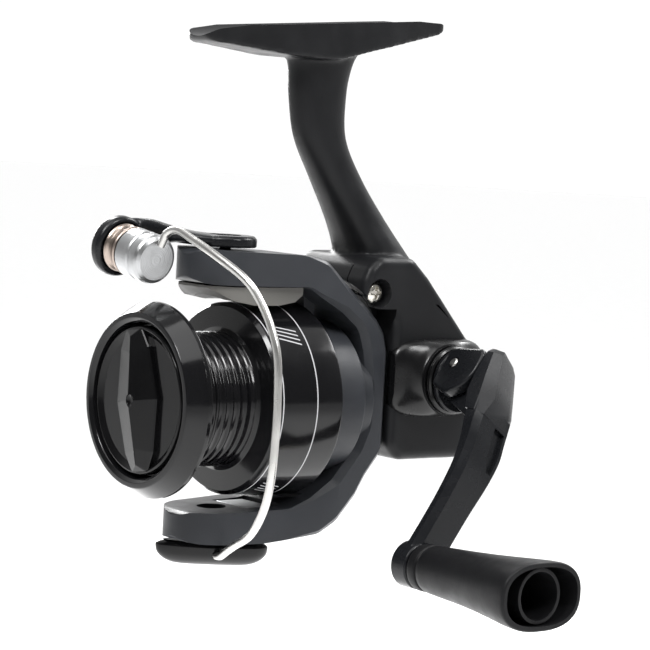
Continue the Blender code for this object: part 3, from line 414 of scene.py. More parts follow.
def surface(
    name, colour, rough, metallic=0.0, shift=0.25, grain=900, bump=0.08, lathe=False, **fixed
):
    """A material with drifting colour, uneven roughness and a fine grain, or turning marks."""
    made = bpy.data.materials.new(name)
    made.use_nodes = True
    made.diffuse_color = (*colour, 1.0)
    nodes = Nodes(made)
    place = nodes.add("ShaderNodeTexCoord").outputs["Object"]
    drift = nodes.noise(place, DRIFT_SCALE, 2)
    light = tuple(min(1.0, c * (1 + shift)) for c in colour)
    dark = tuple(c * (1 - shift) for c in colour)
    base = nodes.mix(nodes.spread(drift, NOISE_LOW, NOISE_HIGH, 0.0, 1.0), dark, light)
    nodes.link(base, nodes.shader.inputs["Base Color"])
    marks = nodes.noise(place, MARK_SCALE, 4)
    low, high = rough * 0.85, min(1.0, rough * 1.2)
    uneven = nodes.spread(marks, NOISE_LOW, NOISE_HIGH, low, high)
    nodes.link(uneven, nodes.shader.inputs["Roughness"])
    nodes.shader.inputs["Metallic"].default_value = metallic
    for key, value in fixed.items():
        nodes.shader.inputs[key.replace("_", " ")].default_value = value
    if lathe:
        split = nodes.add("ShaderNodeSeparateXYZ")
        nodes.link(place, split.inputs[0])
        across = nodes.math(
            "SQRT",
            nodes.math(
                "ADD",
                nodes.math("MULTIPLY", split.outputs[0], split.outputs[0]),
                nodes.math("MULTIPLY", split.outputs[1], split.outputs[1]),
            ),
        )
        joined = nodes.add("ShaderNodeCombineXYZ")
        nodes.link(across, joined.inputs[0])
        nodes.link(split.outputs[2], joined.inputs[1])
        height = nodes.noise(joined.outputs[0], grain, 2)
    else:
        height = nodes.noise(place, grain, 2)
    relief = nodes.add("ShaderNodeBump")
    relief.inputs["Strength"].default_value = bump
    relief.inputs["Distance"].default_value = BUMP_DEPTH
    nodes.link(height, relief.inputs["Height"])
    nodes.link(relief.outputs[0], nodes.shader.inputs["Normal"])
    return made


SATIN = surface(
    "satin_black", (0.007, 0.0072, 0.008), 0.38, 0.0, 0.18, 2600, 0.1, Specular_IOR_Level=0.14
)
ARM_PAINT = surface(
    "arm_paint", (0.006, 0.0064, 0.0075), 0.26, 0.0, 0.18, 2600, 0.06, Specular_IOR_Level=0.2
)
ROTOR = surface(
    "rotor_grey", (0.020, 0.0215, 0.025), 0.42, 0.0, 0.12, 2600, 0.1, Specular_IOR_Level=0.24
)
# Lighter grey-taupe for the upper arm's cover: partly the cover's own tone, partly a painted
# reflection of the light from below on its underside.
TAUPE_AND_PAINTED_REFLECTION = surface("cover_grey_and_painted_reflection", (0.1, 0.097, 0.09), 0.5, 0.0, 0.1, 2600, 0.1, Specular_IOR_Level=0.3)
GLOSS = surface(
    "gloss_black", (0.003, 0.003, 0.0033), 0.15, 0.0, 0.2, 700, 0.01, Specular_IOR_Level=0.2
)
BOSS_BLACK = surface(
    "boss_black", (0.003, 0.003, 0.0033), 0.24, 0.0, 0.2, 700, 0.01, Specular_IOR_Level=0.3
)
SOFT = surface(
    "soft_black", (0.006, 0.006, 0.0066), 0.42, 0.0, 0.15, 3200, 0.16, Specular_IOR_Level=0.13
)
STEEL = surface("steel", (0.46, 0.455, 0.44), 0.3, 1.0, 0.06, 1800, 0.12)
SCREW_STEEL = surface("screw_steel", (0.6, 0.58, 0.53), 0.24, 1.0, 0.1, 2400, 0.1, lathe=True)
ALUMINIUM = surface("aluminium", (0.38, 0.385, 0.39), 0.34, 1.0, 0.05, 5200, 0.3, lathe=True)
BRASS = surface("brass", (0.66, 0.52, 0.3), 0.28, 1.0, 0.12, 3000, 0.2, lathe=True)
TAN = surface("roller_tan", (0.33, 0.275, 0.24), 0.3, 1.0, 0.08, 4200, 0.2, lathe=True)
ZINC = surface("zinc", (0.45, 0.46, 0.47), 0.45, 1.0, 0.15, 900, 0.3)
FELT = surface("felt", (0.3, 0.28, 0.25), 0.95, 0.0, 0.3, 5000, 0.8)
NYLON = surface("nylon", (0.7, 0.69, 0.64), 0.45, 0.0, 0.06, 1600, 0.1)
SLOT_LOOKS = {
    "satin_black": SATIN,
    "rotor_grey": ROTOR,
    "spool_black": GLOSS,
    "drag_black": GLOSS,
    "bail_arm_black": GLOSS,
    "knob_black": SOFT,
    "steel": STEEL,
    "screw_steel": SCREW_STEEL,
    "aluminium": ALUMINIUM,
    "brass": BRASS,
    "roller_tan": TAN,
    "zinc": ZINC,
    "felt": FELT,
    "nylon": NYLON,
}


RINGS_AT = (-0.0190, -0.01085)  # along the spool's axis, in metres
RING_HALF = 0.00014
DASH_TURNS = (-0.62, 1.24)  # where each run of dashes starts round the skirt
DASH_STEP, DASH_HALF, DASH_SLANT = 0.055, 0.008, 18.0
DASHES_AT, DASHES_HALF = -0.01465, 0.0024
DASHES_IN_RUN = 4
SKIRT_INNER = 0.019  # the print lies outside this radius
PRINT_COLOUR = (0.36, 0.36, 0.37)


def skirt_paint():
    """Gloss black with two thin bright rings and two runs of slanted dashes."""
    made = surface(
        "spool_black", (0.004, 0.004, 0.0045), 0.13, 0.0, 0.2, 700, 0.01, Specular_IOR_Level=0.28
    )
    nodes = Nodes(made)
    split = nodes.add("ShaderNodeSeparateXYZ")
    nodes.link(nodes.add("ShaderNodeTexCoord").outputs["Object"], split.inputs[0])
    across, up, along = split.outputs
    turn = nodes.math("ARCTAN2", up, across)  # 0 towards +X, falling towards +Z

    def band(value, centre, half):
        off = nodes.math("ABSOLUTE", nodes.math("SUBTRACT", value, centre))
        return nodes.math("LESS_THAN", off, half)

    rings = nodes.math("ADD", *[band(along, at, RING_HALF) for at in RINGS_AT])
    slant = nodes.math("SUBTRACT", turn, nodes.math("MULTIPLY", along, DASH_SLANT))
    dashes = None
    for middle in DASH_TURNS:
        for k in range(DASHES_IN_RUN):
            stripe = band(slant, middle + DASH_STEP * k, DASH_HALF)
            dashes = stripe if dashes is None else nodes.math("ADD", dashes, stripe)
    dashes = nodes.math("MULTIPLY", dashes, band(along, DASHES_AT, DASHES_HALF))
    squares = [nodes.math("MULTIPLY", value, value) for value in (across, up)]
    skirt = nodes.math("GREATER_THAN", nodes.math("ADD", *squares), SKIRT_INNER**2)
    print_here = nodes.math("MULTIPLY", nodes.math("MAXIMUM", rings, dashes), skirt)
    print_here = nodes.math("MINIMUM", print_here, 1.0)
    base = nodes.shader.inputs["Base Color"].links[0].from_socket
    nodes.link(nodes.mix(print_here, base, PRINT_COLOUR), nodes.shader.inputs["Base Color"])
    return made


def dress(obj, body, slot, look, *nodes):
    """Gives a piece its material and its body, and hides the CAD nodes that it stands for; the slot
    is not used.
    """
    obj.data.materials.clear()
    obj.data.materials.append(look)
    if obj.type == "MESH":
        obj.modifiers.new("normals", "WEIGHTED_NORMAL").keep_sharp = True
    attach(obj, body)
    if nodes:
        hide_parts(*nodes)
    return obj


BODIES = frame["record"]["behaviour"]["bodies"]
NODE_BODY = {node: body for body, names in BODIES.items() for node in names}


def stand_for(obj, node, look=None, slot=None):
    """Dresses a piece that stands for one CAD node, on that node's body, in the given look or else
    the material of the slot (that node's slot unless another is given).
    """
    found = next(part for part in frame["record"]["subparts"] if part["node"] == node)
    slot = slot or found["material_slot"]
    return dress(obj, NODE_BODY[node], slot, look or SLOT_LOOKS[slot], node)


# Housing

BODY_HALF = 12.4
PARTING_X = 6.0
BODY_FRONT = 14.2
GEARBOX = [
    (BODY_FRONT, -9.0), (17.2, -12.3), (38.0, -12.3), (43.5, -9.5), (46.8, -4.0), (46.9, 2.0),
    (43.6, 6.6), (34.5, 12.9), (29.5, 18.4), (23.0, 25.5), (18.5, 29.5), (9.4, 29.5), (7.0, 27.4),
    (5.8, 24.8), (5.8, 21.6), (7.6, 19.0), (10.4, 17.6), (BODY_FRONT, 17.0),
]
ROTOR_SWEEP = [
    (0, 13.9), (16.4, 13.9), (19.0, 12.9), (21.2, 10.9), (23.5, 7.8), (27.3, 2.6), (31.0, -3.0),
    (31.0, -40.0), (0, -40.0),
]
GEAR_ROOM_HALF = 10.9
GEAR_ROOM = [
    (15.7, -8.4), (17.9, -10.8), (37.5, -10.8), (42.6, -8.5), (45.3, -3.8), (45.3, 1.5),
    (42.6, 5.3), (33.6, 11.6), (28.4, 17.4), (25.5, 20.0), (15.7, 20.0),
]
COVER_AREA = [
    (2.0, -20.0), (60.0, -20.0), (60.0, 4.6), (44.5, 4.6), (35.0, 11.2), (28.5, 17.2), (22.4, 21.6),
    (15.7, 24.6), (9.0, 27.2), (2.0, 29.0),
]
STEM = (  # height, y, half width in X, half depth in Y
    (73.2, 0.8, 6.6, 14.5), (72.0, 0.8, 5.8, 10.6), (70.2, 0.6, 5.1, 8.4), (67.0, 0.4, 4.6, 7.1),
    (61.5, 0.2, 4.4, 6.4), (53.0, 1.4, 4.3, 5.7), (44.7, 6.2, 4.9, 5.5), (36.7, 11.8, 6.2, 5.9),
    (30.6, 15.9, 8.0, 6.6), (24.5, 19.3, 9.6, 8.2), (19.0, 21.0, 10.6, 6.6),
)
COVER_SCREWS = (
    ("cover_screw_top", 9.6, 22.2, 2.1), ("cover_screw_rear", 42.0, -6.8, 1.7),
)
COVER_SEAT_X = 9.6
CRANK_BOSS = (  # x, half length, half height, squareness
    (10.6, 12.7, 8.3, 4.0), (12.6, 12.3, 8.1, 4.0), (13.9, 11.0, 7.9, 3.4), (15.0, 8.6, 7.6, 2.5),
    (16.0, 7.4, 7.3, 2.1), (16.8, 7.2, 7.2, 2.0),
)


def gearbox(name):
    box = plate(name, GEARBOX, (-BODY_HALF, BODY_HALF), REEL, corner=3)
    soften(box, 2.6, 4)
    bake(box)
    return carve(box, turned("sweep", ROTOR_SWEEP, REEL, steps=96, corner=0))


def stem():
    rings = []
    for z, y, half_x, half_y in smooth_path(STEM, 5):
        rings.append([(u, y + v, z) for u, v in oval(half_x, half_y, 2.3, 64)])
    return loft("stem", rings, REEL)


FOOT_SIDE = [(-30.6, -1.0), (-26, -1.7), (-11, -4.4), (0, -5.4), (9, -3.8), (30.6, -0.5)]
FOOT_TOP = 2.0


def foot():
    """The slab of the foot, left high so that its top can be cut clean after the fillets."""
    tip, waist = 4.9, 6.9
    plan = [
        (-tip, -29.2), (-waist, -13), (-waist, 13), (-tip, 29.2), (-2.6, 30.5), (2.6, 30.5),
        (tip, 29.2), (waist, 13), (waist, -13), (tip, -29.2), (2.6, -30.5), (-2.6, -30.5),
    ]
    slab = plate("foot", [*FOOT_SIDE, (30.6, 7), (-30.6, 7)], (-8, 8), FOOT, corner=14)
    return keep_inside(slab, plate("plan", plan, (-9, 9), FOOT, "Z", corner=3))


def screw_holes():
    return [rod(name, 1.1, (-4, 20), REEL, "X", (0, y, z), 24) for name, y, z, _ in COVER_SCREWS]


def screw_seats():
    """Round recesses that widen outwards from each cover screw's head."""
    seats = []
    for name, y, z, head in COVER_SCREWS:
        span = (COVER_SEAT_X, 16)
        seats.append(rod(name, head + 0.55, span, REEL, "X", (0, y, z), 48, head + 1.3))
    return seats


def reel_body():
    body = weld(gearbox("housing"), stem(), foot())
    cast(body, 0.42, 5)
    boss = [(0, -9), (10.5, -9), (10.5, -10), (8.8, -14.2), (8.6, -17.0), (0, -17.0)]
    weld(
        body,
        rod("neck", 9.2, (3.4, 16), REEL, steps=96),
        turned("left_boss", boss, REEL, "X", 96, 0.5, CRANK_AT),
    )
    cutters = [
        block("foot_trim", (-12, -40, FOOT_TOP), (12, 40, 12), FOOT),
        rod("saddle", 9.5, (-40, 40), FOOT, "Y", (0, 0, 9.5), 144),
        plate("cover_area", COVER_AREA, (PARTING_X, 40), REEL, corner=4),
        plate("gear_room", GEAR_ROOM, (-GEAR_ROOM_HALF, 20), REEL, corner=1),
        rod("bearing_seat", 7.3, (2, 13.6), REEL),
        rod("pinion_hole", 3.6, (10, 18), REEL),
        rod("crank_seat", 5.35, (-16.2, -5), REEL, "X", CRANK_AT),
        rod("crank_hole", 1.9, (-20, -5), REEL, "X", CRANK_AT),
    ]
    carve(body, *cutters, *screw_holes())
    shade(body.data, 35)
    stand_for(body, "reel_body")


def side_cover():
    cover = gearbox("side_cover")
    cast(cover, 0.3, 3)
    keep_inside(cover, plate("area", COVER_AREA, (PARTING_X + 0.3, 40), REEL, corner=4))
    cutters = [
        block("front_cut", (0, 0, -20), (30, BODY_FRONT - 0.01, 19.0), REEL),
        plate("gear_room", GEAR_ROOM, (0, GEAR_ROOM_HALF), REEL, corner=1),
        rod("boss_hole", 7.2, (5, 16), REEL, "X", CRANK_AT),
    ]
    carve(cover, *cutters, *screw_holes(), *screw_seats())
    soften(cover, 0.2, 2, 40)
    stand_for(bake(cover, 35), "side_cover")


def crank_boss():
    rings = []
    for x, half_y, half_z, power in smooth_path(CRANK_BOSS, 5):
        loop = oval(half_y, half_z, power, 96)
        rings.append([(x, CRANK_AT[1] + y, CRANK_AT[2] + z) for y, z in loop])
    boss = loft("crank_boss", rings, REEL)
    carve(
        boss,
        rod("bearing_room", 5.4, (8, 16.3), REEL, "X", CRANK_AT),
        block("front_clip", (0, 0, -20), (30, BODY_FRONT, 30), REEL),
    )
    dress(soften(boss, 0.4, 3, 40), "housing", "bail_arm_black", BOSS_BLACK)

    collar = [
        (1.9, 18.3), (6.6, 18.3), (7.0, 18.0), (7.0, 17.8), (6.5, 17.7), (7.0, 17.6), (7.0, 17.3),
        (6.8, 17.1), (1.9, 17.1),
    ]
    collar = turned("boss_collar_piece", collar, REEL, "X", 96, 0.1, CRANK_AT)
    stand_for(collar, "boss_collar", BOSS_BLACK, "bail_arm_black")


def cross_screw(node, matrix, head_at, direction, head, shank):
    """A pan-head screw with a cross recess and a threaded shank."""
    head_r, head_h = head
    shank_r, shank_l = shank
    profile = [
        (0, head_h), (head_r * 0.45, head_h), (head_r * 0.8, head_h * 0.86), (head_r, head_h * 0.5),
        (head_r, 0), (shank_r, 0),
    ]
    pitch = 0.5
    for k in range(int(shank_l / pitch)):
        profile += [(shank_r * 0.86, -pitch * (k + 0.5)), (shank_r, -pitch * (k + 1))]
    profile += [(shank_r * 0.5, -shank_l), (0, -shank_l)]
    turn = (-UP).rotation_difference(Vector(direction)).to_matrix().to_4x4()
    where = moved(matrix, head_at, turn)
    made = turned(f"{node}_piece", profile, where, "Z", 40, 0.06)
    bars = []
    for wide, long in ((0.17, 0.62), (0.62, 0.17)):
        low = (-head_r * wide, -head_r * long, head_h * 0.35)
        high = (head_r * wide, head_r * long, head_h + 1)
        bars.append(block("bar", low, high, where))
    carve(made, *bars)
    stand_for(soften(made, 0.05, 1, 40), node)


def fasteners():
    for name, y, z, head in COVER_SCREWS:
        at = (COVER_SEAT_X + 0.3, y, z)
        cross_screw(name, REEL, at, (-1, 0, 0), (head, 1.2), (0.75, 5))
    cross_screw("arm_cover_screw", REEL, (0, -9.6, 21.8), (0, 0, 1), (1.7, 0.8), (0.75, 3.8))
    cross_screw("bail_lever_screw", BAIL, (0, 0, 31.9), (0, 0, -1), (2.8, 0.8), (1.3, 3.8))
    cross_screw("bail_arm_low_screw", BAIL, (0, 0, -25.8), (0, 0, -1), (2.5, 1.2), (1.15, 6.0))
    cross_screw("roller_screw", ROLLER, (0, 0, -2.9), (0, 0, 1), (2.0, 0.9), (0.9, 10.0))


# Rotor

ROTOR_OUTER = [
    (-31.0, 30.2), (-8.0, 29.6), (-3.0, 28.4), (2.2, 23.8), (7.4, 19.4), (10.5, 16.6), (12.4, 14.0),
    (13.5, 10.0), (13.5, -9.4), (12.8, -11.2), (9.4, -15.4), (7.2, -19.2), (2.6, -24.3),
    (-1.8, -26.7), (-15.0, -28.1), (-31.0, -28.2),
]
ROTOR_INNER = [
    (-31.0, -22.0), (-20.0, -21.7), (-9.5, -21.3), (-4.5, -19.4), (1.0, -15.8), (6.2, -9.6),
    (8.3, -5.0), (8.5, 3.0), (7.4, 10.4), (5.8, 14.8), (1.4, 18.2), (-4.6, 21.4), (-7.5, 23.2),
    (-31.0, 23.3),
]
BAIL_RELIEF = [
    (-40.0, -17.5), (-9.2, -17.5), (-7.6, -13.5), (-5.2, -9.5), (-3.9, -4.0), (-4.4, 1.0),
    (-9.0, 8.0), (-40.0, 8.0),
]
ARM_HALF = 12.0
ARM_TIP_R = 9.5
BAIL_Y = (BAIL.translation - SPOOL_AXIS).y / MM


def rotor():
    outline = rounded(ROTOR_OUTER + ROTOR_INNER, 5, True, 4, 6)
    made = plate("rotor_piece", outline, (-ARM_HALF, ARM_HALF), REEL)
    bake(soften(made, 1.3, 1, 50))
    tip = arc((0, BAIL_Y), ARM_TIP_R, 184, 356, 48)
    plan = tip + [(ARM_HALF, 2), (ARM_HALF, 20), (-ARM_HALF, 20), (-ARM_HALF, 2)]
    keep_inside(made, plate("plan", plan, (-40, 40), REEL, "Z"))
    cup = [
        (12.8, 9.4), (12.8, 4.5), (16.0, 4.5), (16.0, -16.2), (15.2, -17.0), (3.5, -17.0),
        (3.5, -14.6), (14.4, -14.6), (14.4, 2.9), (10.2, 2.9), (10.2, 9.4),
    ]
    weld(
        made,
        turned("cup", cup, REEL, steps=128, corner=0.4),
        block("rib_low", (-4, -3.4, -23), (4, -0.6, -14.9), REEL),
        block("rib_high", (-4, -3.4, 14.9), (4, -0.6, 22.5), REEL),
    )
    at = (0, BAIL_Y, 0)
    carve(
        made,
        rod("neck_hole", 9.8, (5, 20), REEL, steps=96),
        ring("spool_space", 15.98, 20.5, (-45, -3.7), REEL, steps=128, corner=0),
        rod("hollow", 14.3, (-14.5, 2.8), REEL, steps=96),
        block("spring_room", (-4.9, -27, 20), (6.5, -12.6, 28.0), REEL),
        block("trip_slot", (-3.7, -13, 23.7), (-0.9, 5, 25.9), REEL),
        plate("relief", BAIL_RELIEF, (22.9, 40), REEL, "Z", corner=2),
        rod("bail_hole_high", 1.7, (20, 35), REEL, "Z", at),
        rod("bail_hole_low", 1.6, (-35, -20), REEL, "Z", at),
        rod("screw_room_low", 3.0, (-26.2, -15), REEL, "Z", at),
        block("weight_room", (-6, -16.5, -26), (6, -8.5, -15), REEL),
        rod("cover_screw_hole", 1.1, (20, 26.4), REEL, "Z", (0, -9.6, 0)),
    )
    soften(made, 0.25, 2, 28)
    stand_for(bake(made, 35), "rotor")

    under = arc((0, 0), 20.9, 66, 114, 24)
    section = [(8.9, 23.0), (8.9, 19.4), *under, (-8.9, 19.4), (-8.9, 23.0)]
    cover = plate("arm_cover_piece", section, (-28.4, -7.6), REEL, "Y")
    tip = arc((0, BAIL_Y), 8.9, 180, 360, 48)
    plan = tip + [(8.9, -7.6), (-8.9, -7.6)]
    keep_inside(cover, plate("cover_plan", plan, (10, 40), REEL, "Z"))
    ends = [
        (-40, 22.6), (-28.4, 22.5), (-24.5, 20.3), (-19.5, 19.4), (-13.5, 19.4), (-9.5, 20.1),
        (-7, 22.0), (-5, 22.0), (-5, 15), (-40, 15),
    ]
    carve(
        cover,
        plate("cover_ends", ends, (-ARM_HALF, ARM_HALF), REEL),
        rod("cover_screw_seat", 2.1, (15, 22.0), REEL, "Z", (0, -9.6, 0)),
        rod("cover_screw_hole", 1.1, (15, 26), REEL, "Z", (0, -9.6, 0)),
    )
    # The cover's lighter grey is partly its own tone and partly a painted reflection of light from
    # below.
    stand_for(bake(soften(cover, 0.3, 2)), "bail_arm_cover", TAUPE_AND_PAINTED_REFLECTION)
    weight = block("balance_weight_piece", (-5.7, -16.2, -25.7), (5.7, -8.8, -21.6), REEL)
    stand_for(bake(soften(weight, 0.5, 3)), "balance_weight")


# Spool and drag


def spool():
    outer = [
        (18.4, -4.5), (19.8, -4.5), (19.8, -5.6), (19.72, -11.0), (19.3, -19.6), (18.6, -20.4),
        (14.4, -20.8), (13.6, -21.4),
    ]
    for k in range(7):
        y = -22.0 - 1.75 * k
        outer += [(13.5, y), (13.2, y - 0.3), (13.2, y - 1.1), (13.5, y - 1.4)]
    outer += [
        (13.6, -34.4), (15.0, -35.1), (18.7, -35.7), (19.4, -36.3), (19.4, -37.2), (19.15, -37.6),
        (17.5, -40.4), (17.2, -40.9), (16.2, -41.0), (15.5, -40.4),
        (15.1, -38.6), (15.1, -37.3), (11.2, -37.3), (11.0, -30.9), (2.1, -30.9), (2.1, -28.0),
        (12.0, -28.0), (12.0, -19.2), (18.1, -18.8),
    ]
    made = turned("spool_piece", outer, REEL, "Y", 160, 0.35, sharp=60)
    stand_for(made, "spool", skirt_paint())


GRIP_TURN = math.radians(9)
GRIP = [  # the grip bar's outline in X and Z before it is turned
    (2.6, -14.0), (4.8, -10.3), (6.9, 0.0), (4.8, 10.3), (2.6, 14.0),
    (-2.6, 14.0), (-4.8, 10.3), (-6.9, 0.0), (-4.8, -10.3), (-2.6, -14.0),
]
GRIP_LEVELS = (  # y, share of the outline, rise towards the ends
    (-39.0, 1.0, 0.0), (-40.35, 0.985, 0.0), (-40.65, 0.94, 0.004), (-42.5, 0.045, 0.09),
    (-42.58, 0.01, 0.09),
)


def drag_knob():
    profile = [
        (0, -36.8), (5.8, -36.8), (6.2, -37.6), (14.6, -37.9), (14.7, -38.4), (14.7, -39.6),
        (14.4, -40.2), (14.0, -40.3), (13.5, -39.9), (12.9, -39.5), (8.0, -39.6), (0, -39.7),
    ]
    knob = turned("drag_knob_piece", profile, REEL, "Y", 128, 0.3)
    turn = Matrix.Rotation(GRIP_TURN, 2)
    levels = []
    outline = rounded(GRIP, 0.8, True, 3, 5)
    for y, share, rise in GRIP_LEVELS:
        points = [turn @ Vector((x * share, z * (0.9 + 0.1 * share))) for x, z in outline]
        levels.append([(x, y + rise * abs(z), z) for x, z in points])
    weld(knob, loft("bar", levels, REEL, 20))
    hollow = [(0, -41.7), (0.5, -41.75), (1.2, -42.1), (1.5, -44), (0, -44)]
    dimple = turned("dimple", hollow, REEL, "Y", 48, 0.2)
    carve(
        knob,
        dimple,
        rod("nut_room", 3.9, (-40.7, -37.2), REEL),
        rod("spring_room", 4.4, (-37.4, -30), REEL),
    )
    sleeve = ring("sleeve", 4.4, 6.2, (-37.4, -35.6), REEL, corner=0.2)
    weld(knob, sleeve)
    soften(knob, 0.12, 2, 12)
    stand_for(bake(knob, 20), "drag_knob")


# Bail


def lever_ring(distance, height, half_wide, half_high, outwards):
    end = (ROLLER.translation - BAIL.translation) / MM
    run = Vector((end.x, end.y, 0)).normalized()
    side = Vector((-run.y, run.x, 0))
    centre = run * distance - side * outwards + Vector((0, 0, height))
    return [centre + side * u + Vector((0, 0, v)) for u, v in oval(half_wide, half_high, 3.6, 48)]


def bail_lever():
    sections = [
        (-2.5, 31.7, 3.6, 1.0, 0), (0, 31.7, 5.6, 1.1, 0), (6, 31.85, 5.2, 1.3, 0),
        (11, 32.35, 3.5, 1.8, 0.8), (14.5, 31.4, 2.3, 3.6, 2.2), (17.5, 30.2, 1.6, 4.9, 3.1),
        (19.8, 29.4, 1.1, 5.6, 2.2),
    ]
    rings = [lever_ring(*section) for section in smooth_path(sections, 5)]
    lever = loft("bail_lever_piece", rings, BAIL)
    hub = [(0, 32.8), (5.7, 32.8), (6.3, 32.2), (6.3, 30.5), (0, 30.5)]
    disc = [
        (0, 0.4), (5.3, 0.4), (5.8, 0.2), (6.1, -0.4), (6.1, -1.7), (5.6, -2.4), (4.8, -2.6),
        (0, -2.6),
    ]
    weld(
        lever,
        turned("hub", hub, BAIL, "Z", 96, 0.4),
        turned("disc", disc, ROLLER, "Z", 96, 0.3),
    )
    cast(lever, 0.2, 4)
    carve(
        lever,
        rod("roller_room", 5.25, (-0.2, 14), ROLLER, "Z", steps=96),
        rod("screw_hole", 1.2, (-8, 2), ROLLER, "Z"),
        rod("pivot_hole", 1.6, (28, 36), BAIL, "Z"),
        rod("screw_seat", 3.2, (31.6, 36), BAIL, "Z", steps=64),
    )
    soften(lever, 0.12, 2, 40)
    stand_for(bake(lever, 40), "bail_lever", ARM_PAINT)

    groove = [
        (2.5, 3.8), (4.7, 3.8), (4.9, 3.5), (4.8, 3.1), (4.4, 2.7), (4.2, 2.1), (4.3, 1.5),
        (4.7, 1.1), (4.9, 0.7), (4.8, 0.4), (2.5, 0.4),
    ]
    stand_for(turned("line_roller_piece", groove, ROLLER, "Z", 96, 0.15), "line_roller")


WIRE_ROUTE = [
    (1.2, -37.6, 30.4), (2.6, -37.2, 32.9), (5.6, -36.8, 33.8), (10.4, -36.5, 32.3),
    (18.1, -36.0, 29.5), (25.0, -34.5, 25.9), (28.4, -33.2, 22.0), (31.2, -32.4, 17.1),
    (33.2, -32.0, 11.4), (33.8, -31.9, 2.4), (33.7, -31.9, -3.6), (33.0, -31.8, -11.2),
    (30.0, -30.9, -17.8), (23.2, -28.5, -23.6), (15.2, -25.9, -27.0), (10.9, -24.6, -28.9),
    (7.0, -23.2, -30.6), (4.6, -22.5, -31.0),
]


def bail_loop():
    shift = Vector((0, -BAIL_Y, 0))
    path = [point + shift for point in smooth_path(WIRE_ROUTE, 8)]
    cap = [
        (0, 11.6), (4.0, 11.6), (4.7, 11.1), (4.95, 10.5), (4.95, 8.9), (4.75, 8.5), (4.75, 8.2),
        (4.95, 7.8), (4.95, 4.5), (4.7, 4.2), (1.3, 4.2), (1.3, 7.8), (0, 7.8),
    ]
    made = turned("cone_cap_piece", cap, ROLLER, "Z", 96, 0.2)
    carve(made, wire("socket", path[:10], 0.95, BAIL))
    stand_for(soften(made, 0.08, 2, 40), "roller_cone_cap")
    stand_for(wire("bail_wire_piece", path, 0.8, BAIL, 8), "bail_wire")

    turn = Matrix.Rotation(math.atan2(0.85, 0.53), 4, "Z")
    rings = []
    sections = (
        (-28.6, 9.6, 3.7, 1.7), (-28.7, 10.1, 4.2, 1.7), (-29.3, 11.1, 4.7, 1.7),
        (-29.9, 11.3, 4.7, 1.7), (-31.2, 11.0, 4.3, 1.75), (-32.4, 9.8, 3.2, 1.8),
        (-33.2, 8.0, 1.9, 1.9), (-33.5, 6.0, 0.8, 2.0),
    )
    for z, half_long, half_wide, power in smooth_path(sections, 4):
        rings.append([(u, v, z) for u, v in oval(half_long, half_wide, power, 72)])
    arm = loft("bail_arm_low_piece", rings, moved(BAIL, (0.6, 0.2, 0), turn), 45)
    carve(
        arm,
        wire("socket", path[-30:], 0.95, BAIL),
        rod("screw_hole", 1.5, (-32.4, -20), BAIL, "Z"),
    )
    stand_for(soften(arm, 0.1, 2, 50), "bail_arm_low")


# Crank


FOLD_X = (CRANK.inverted() @ joint_at("handle_fold")).x / MM
FOLD_Z = (CRANK.inverted() @ joint_at("handle_fold")).z / MM


def handle_root():
    disc = [(0, 19.9), (6.3, 19.9), (6.6, 19.6), (6.6, 18.9), (6.3, 18.6), (0, 18.6)]
    root = turned("handle_root_piece", disc, CRANK, "X", 96, 0.15)
    low = [(19.4, -4.6), (23.8, -6.1), *arc((FOLD_X, FOLD_Z), 7.1, -70, 0, 20)]
    near = [*low, (29.45, 3.6), (28.4, 5.2), (21.2, 4.5), (19.4, 3.4)]
    far = [*low, *arc((FOLD_X, FOLD_Z), 6.0, 30, 90, 16), (19.4, 6.0)]
    cheeks = []
    for side, cheek in ((-1, near), (1, far)):
        span = sorted((3.6 * side, 6.3 * side))
        cheeks.append(bake(soften(plate("cheek", cheek, span, CRANK, "Y"), 0.7, 3, 40)))
    weld(root, *cheeks, rod("drive_rod", 1.45, (-20.3, 19.2), CRANK, "X"))
    carve(root, rod("pin_hole", 1.25, (-9, 9), CRANK, "Y", (FOLD_X, 0, FOLD_Z)))
    soften(root, 0.1, 2, 40)
    stand_for(bake(root, 35), "handle_root", ARM_PAINT)
    pin = [(0, 6.6), (0.7, 6.6), (1.0, 6.35), (1.0, -6.35), (0.7, -6.6), (0, -6.6)]
    stand_for(turned("fold_pin_piece", pin, CRANK, "Y", 40, 0.1, (FOLD_X, 0, FOLD_Z)), "fold_pin")

    cap = [
        (0, -17.4), (7.0, -17.4), (7.2, -17.8), (7.2, -20.2), (6.8, -21.1), (6.0, -21.6),
        (3.4, -21.8), (3.2, -21.5), (0, -21.5),
    ]
    made = turned("screw_cap_piece", cap, CRANK, "X", 96, 0.25)
    flutes = 16
    cutters = [rod("bore", 1.75, (-20.7, -15), CRANK, "X")]
    for k in range(flutes):
        turn = 2 * math.pi * k / flutes
        at = (0, 7.75 * math.cos(turn), 7.75 * math.sin(turn))
        cutters.append(rod("flute", 0.85, (-23, -16), CRANK, "X", at, 20))
    carve(made, *cutters)
    stand_for(soften(made, 0.12, 2, 30), "handle_screw_cap", ARM_PAINT)


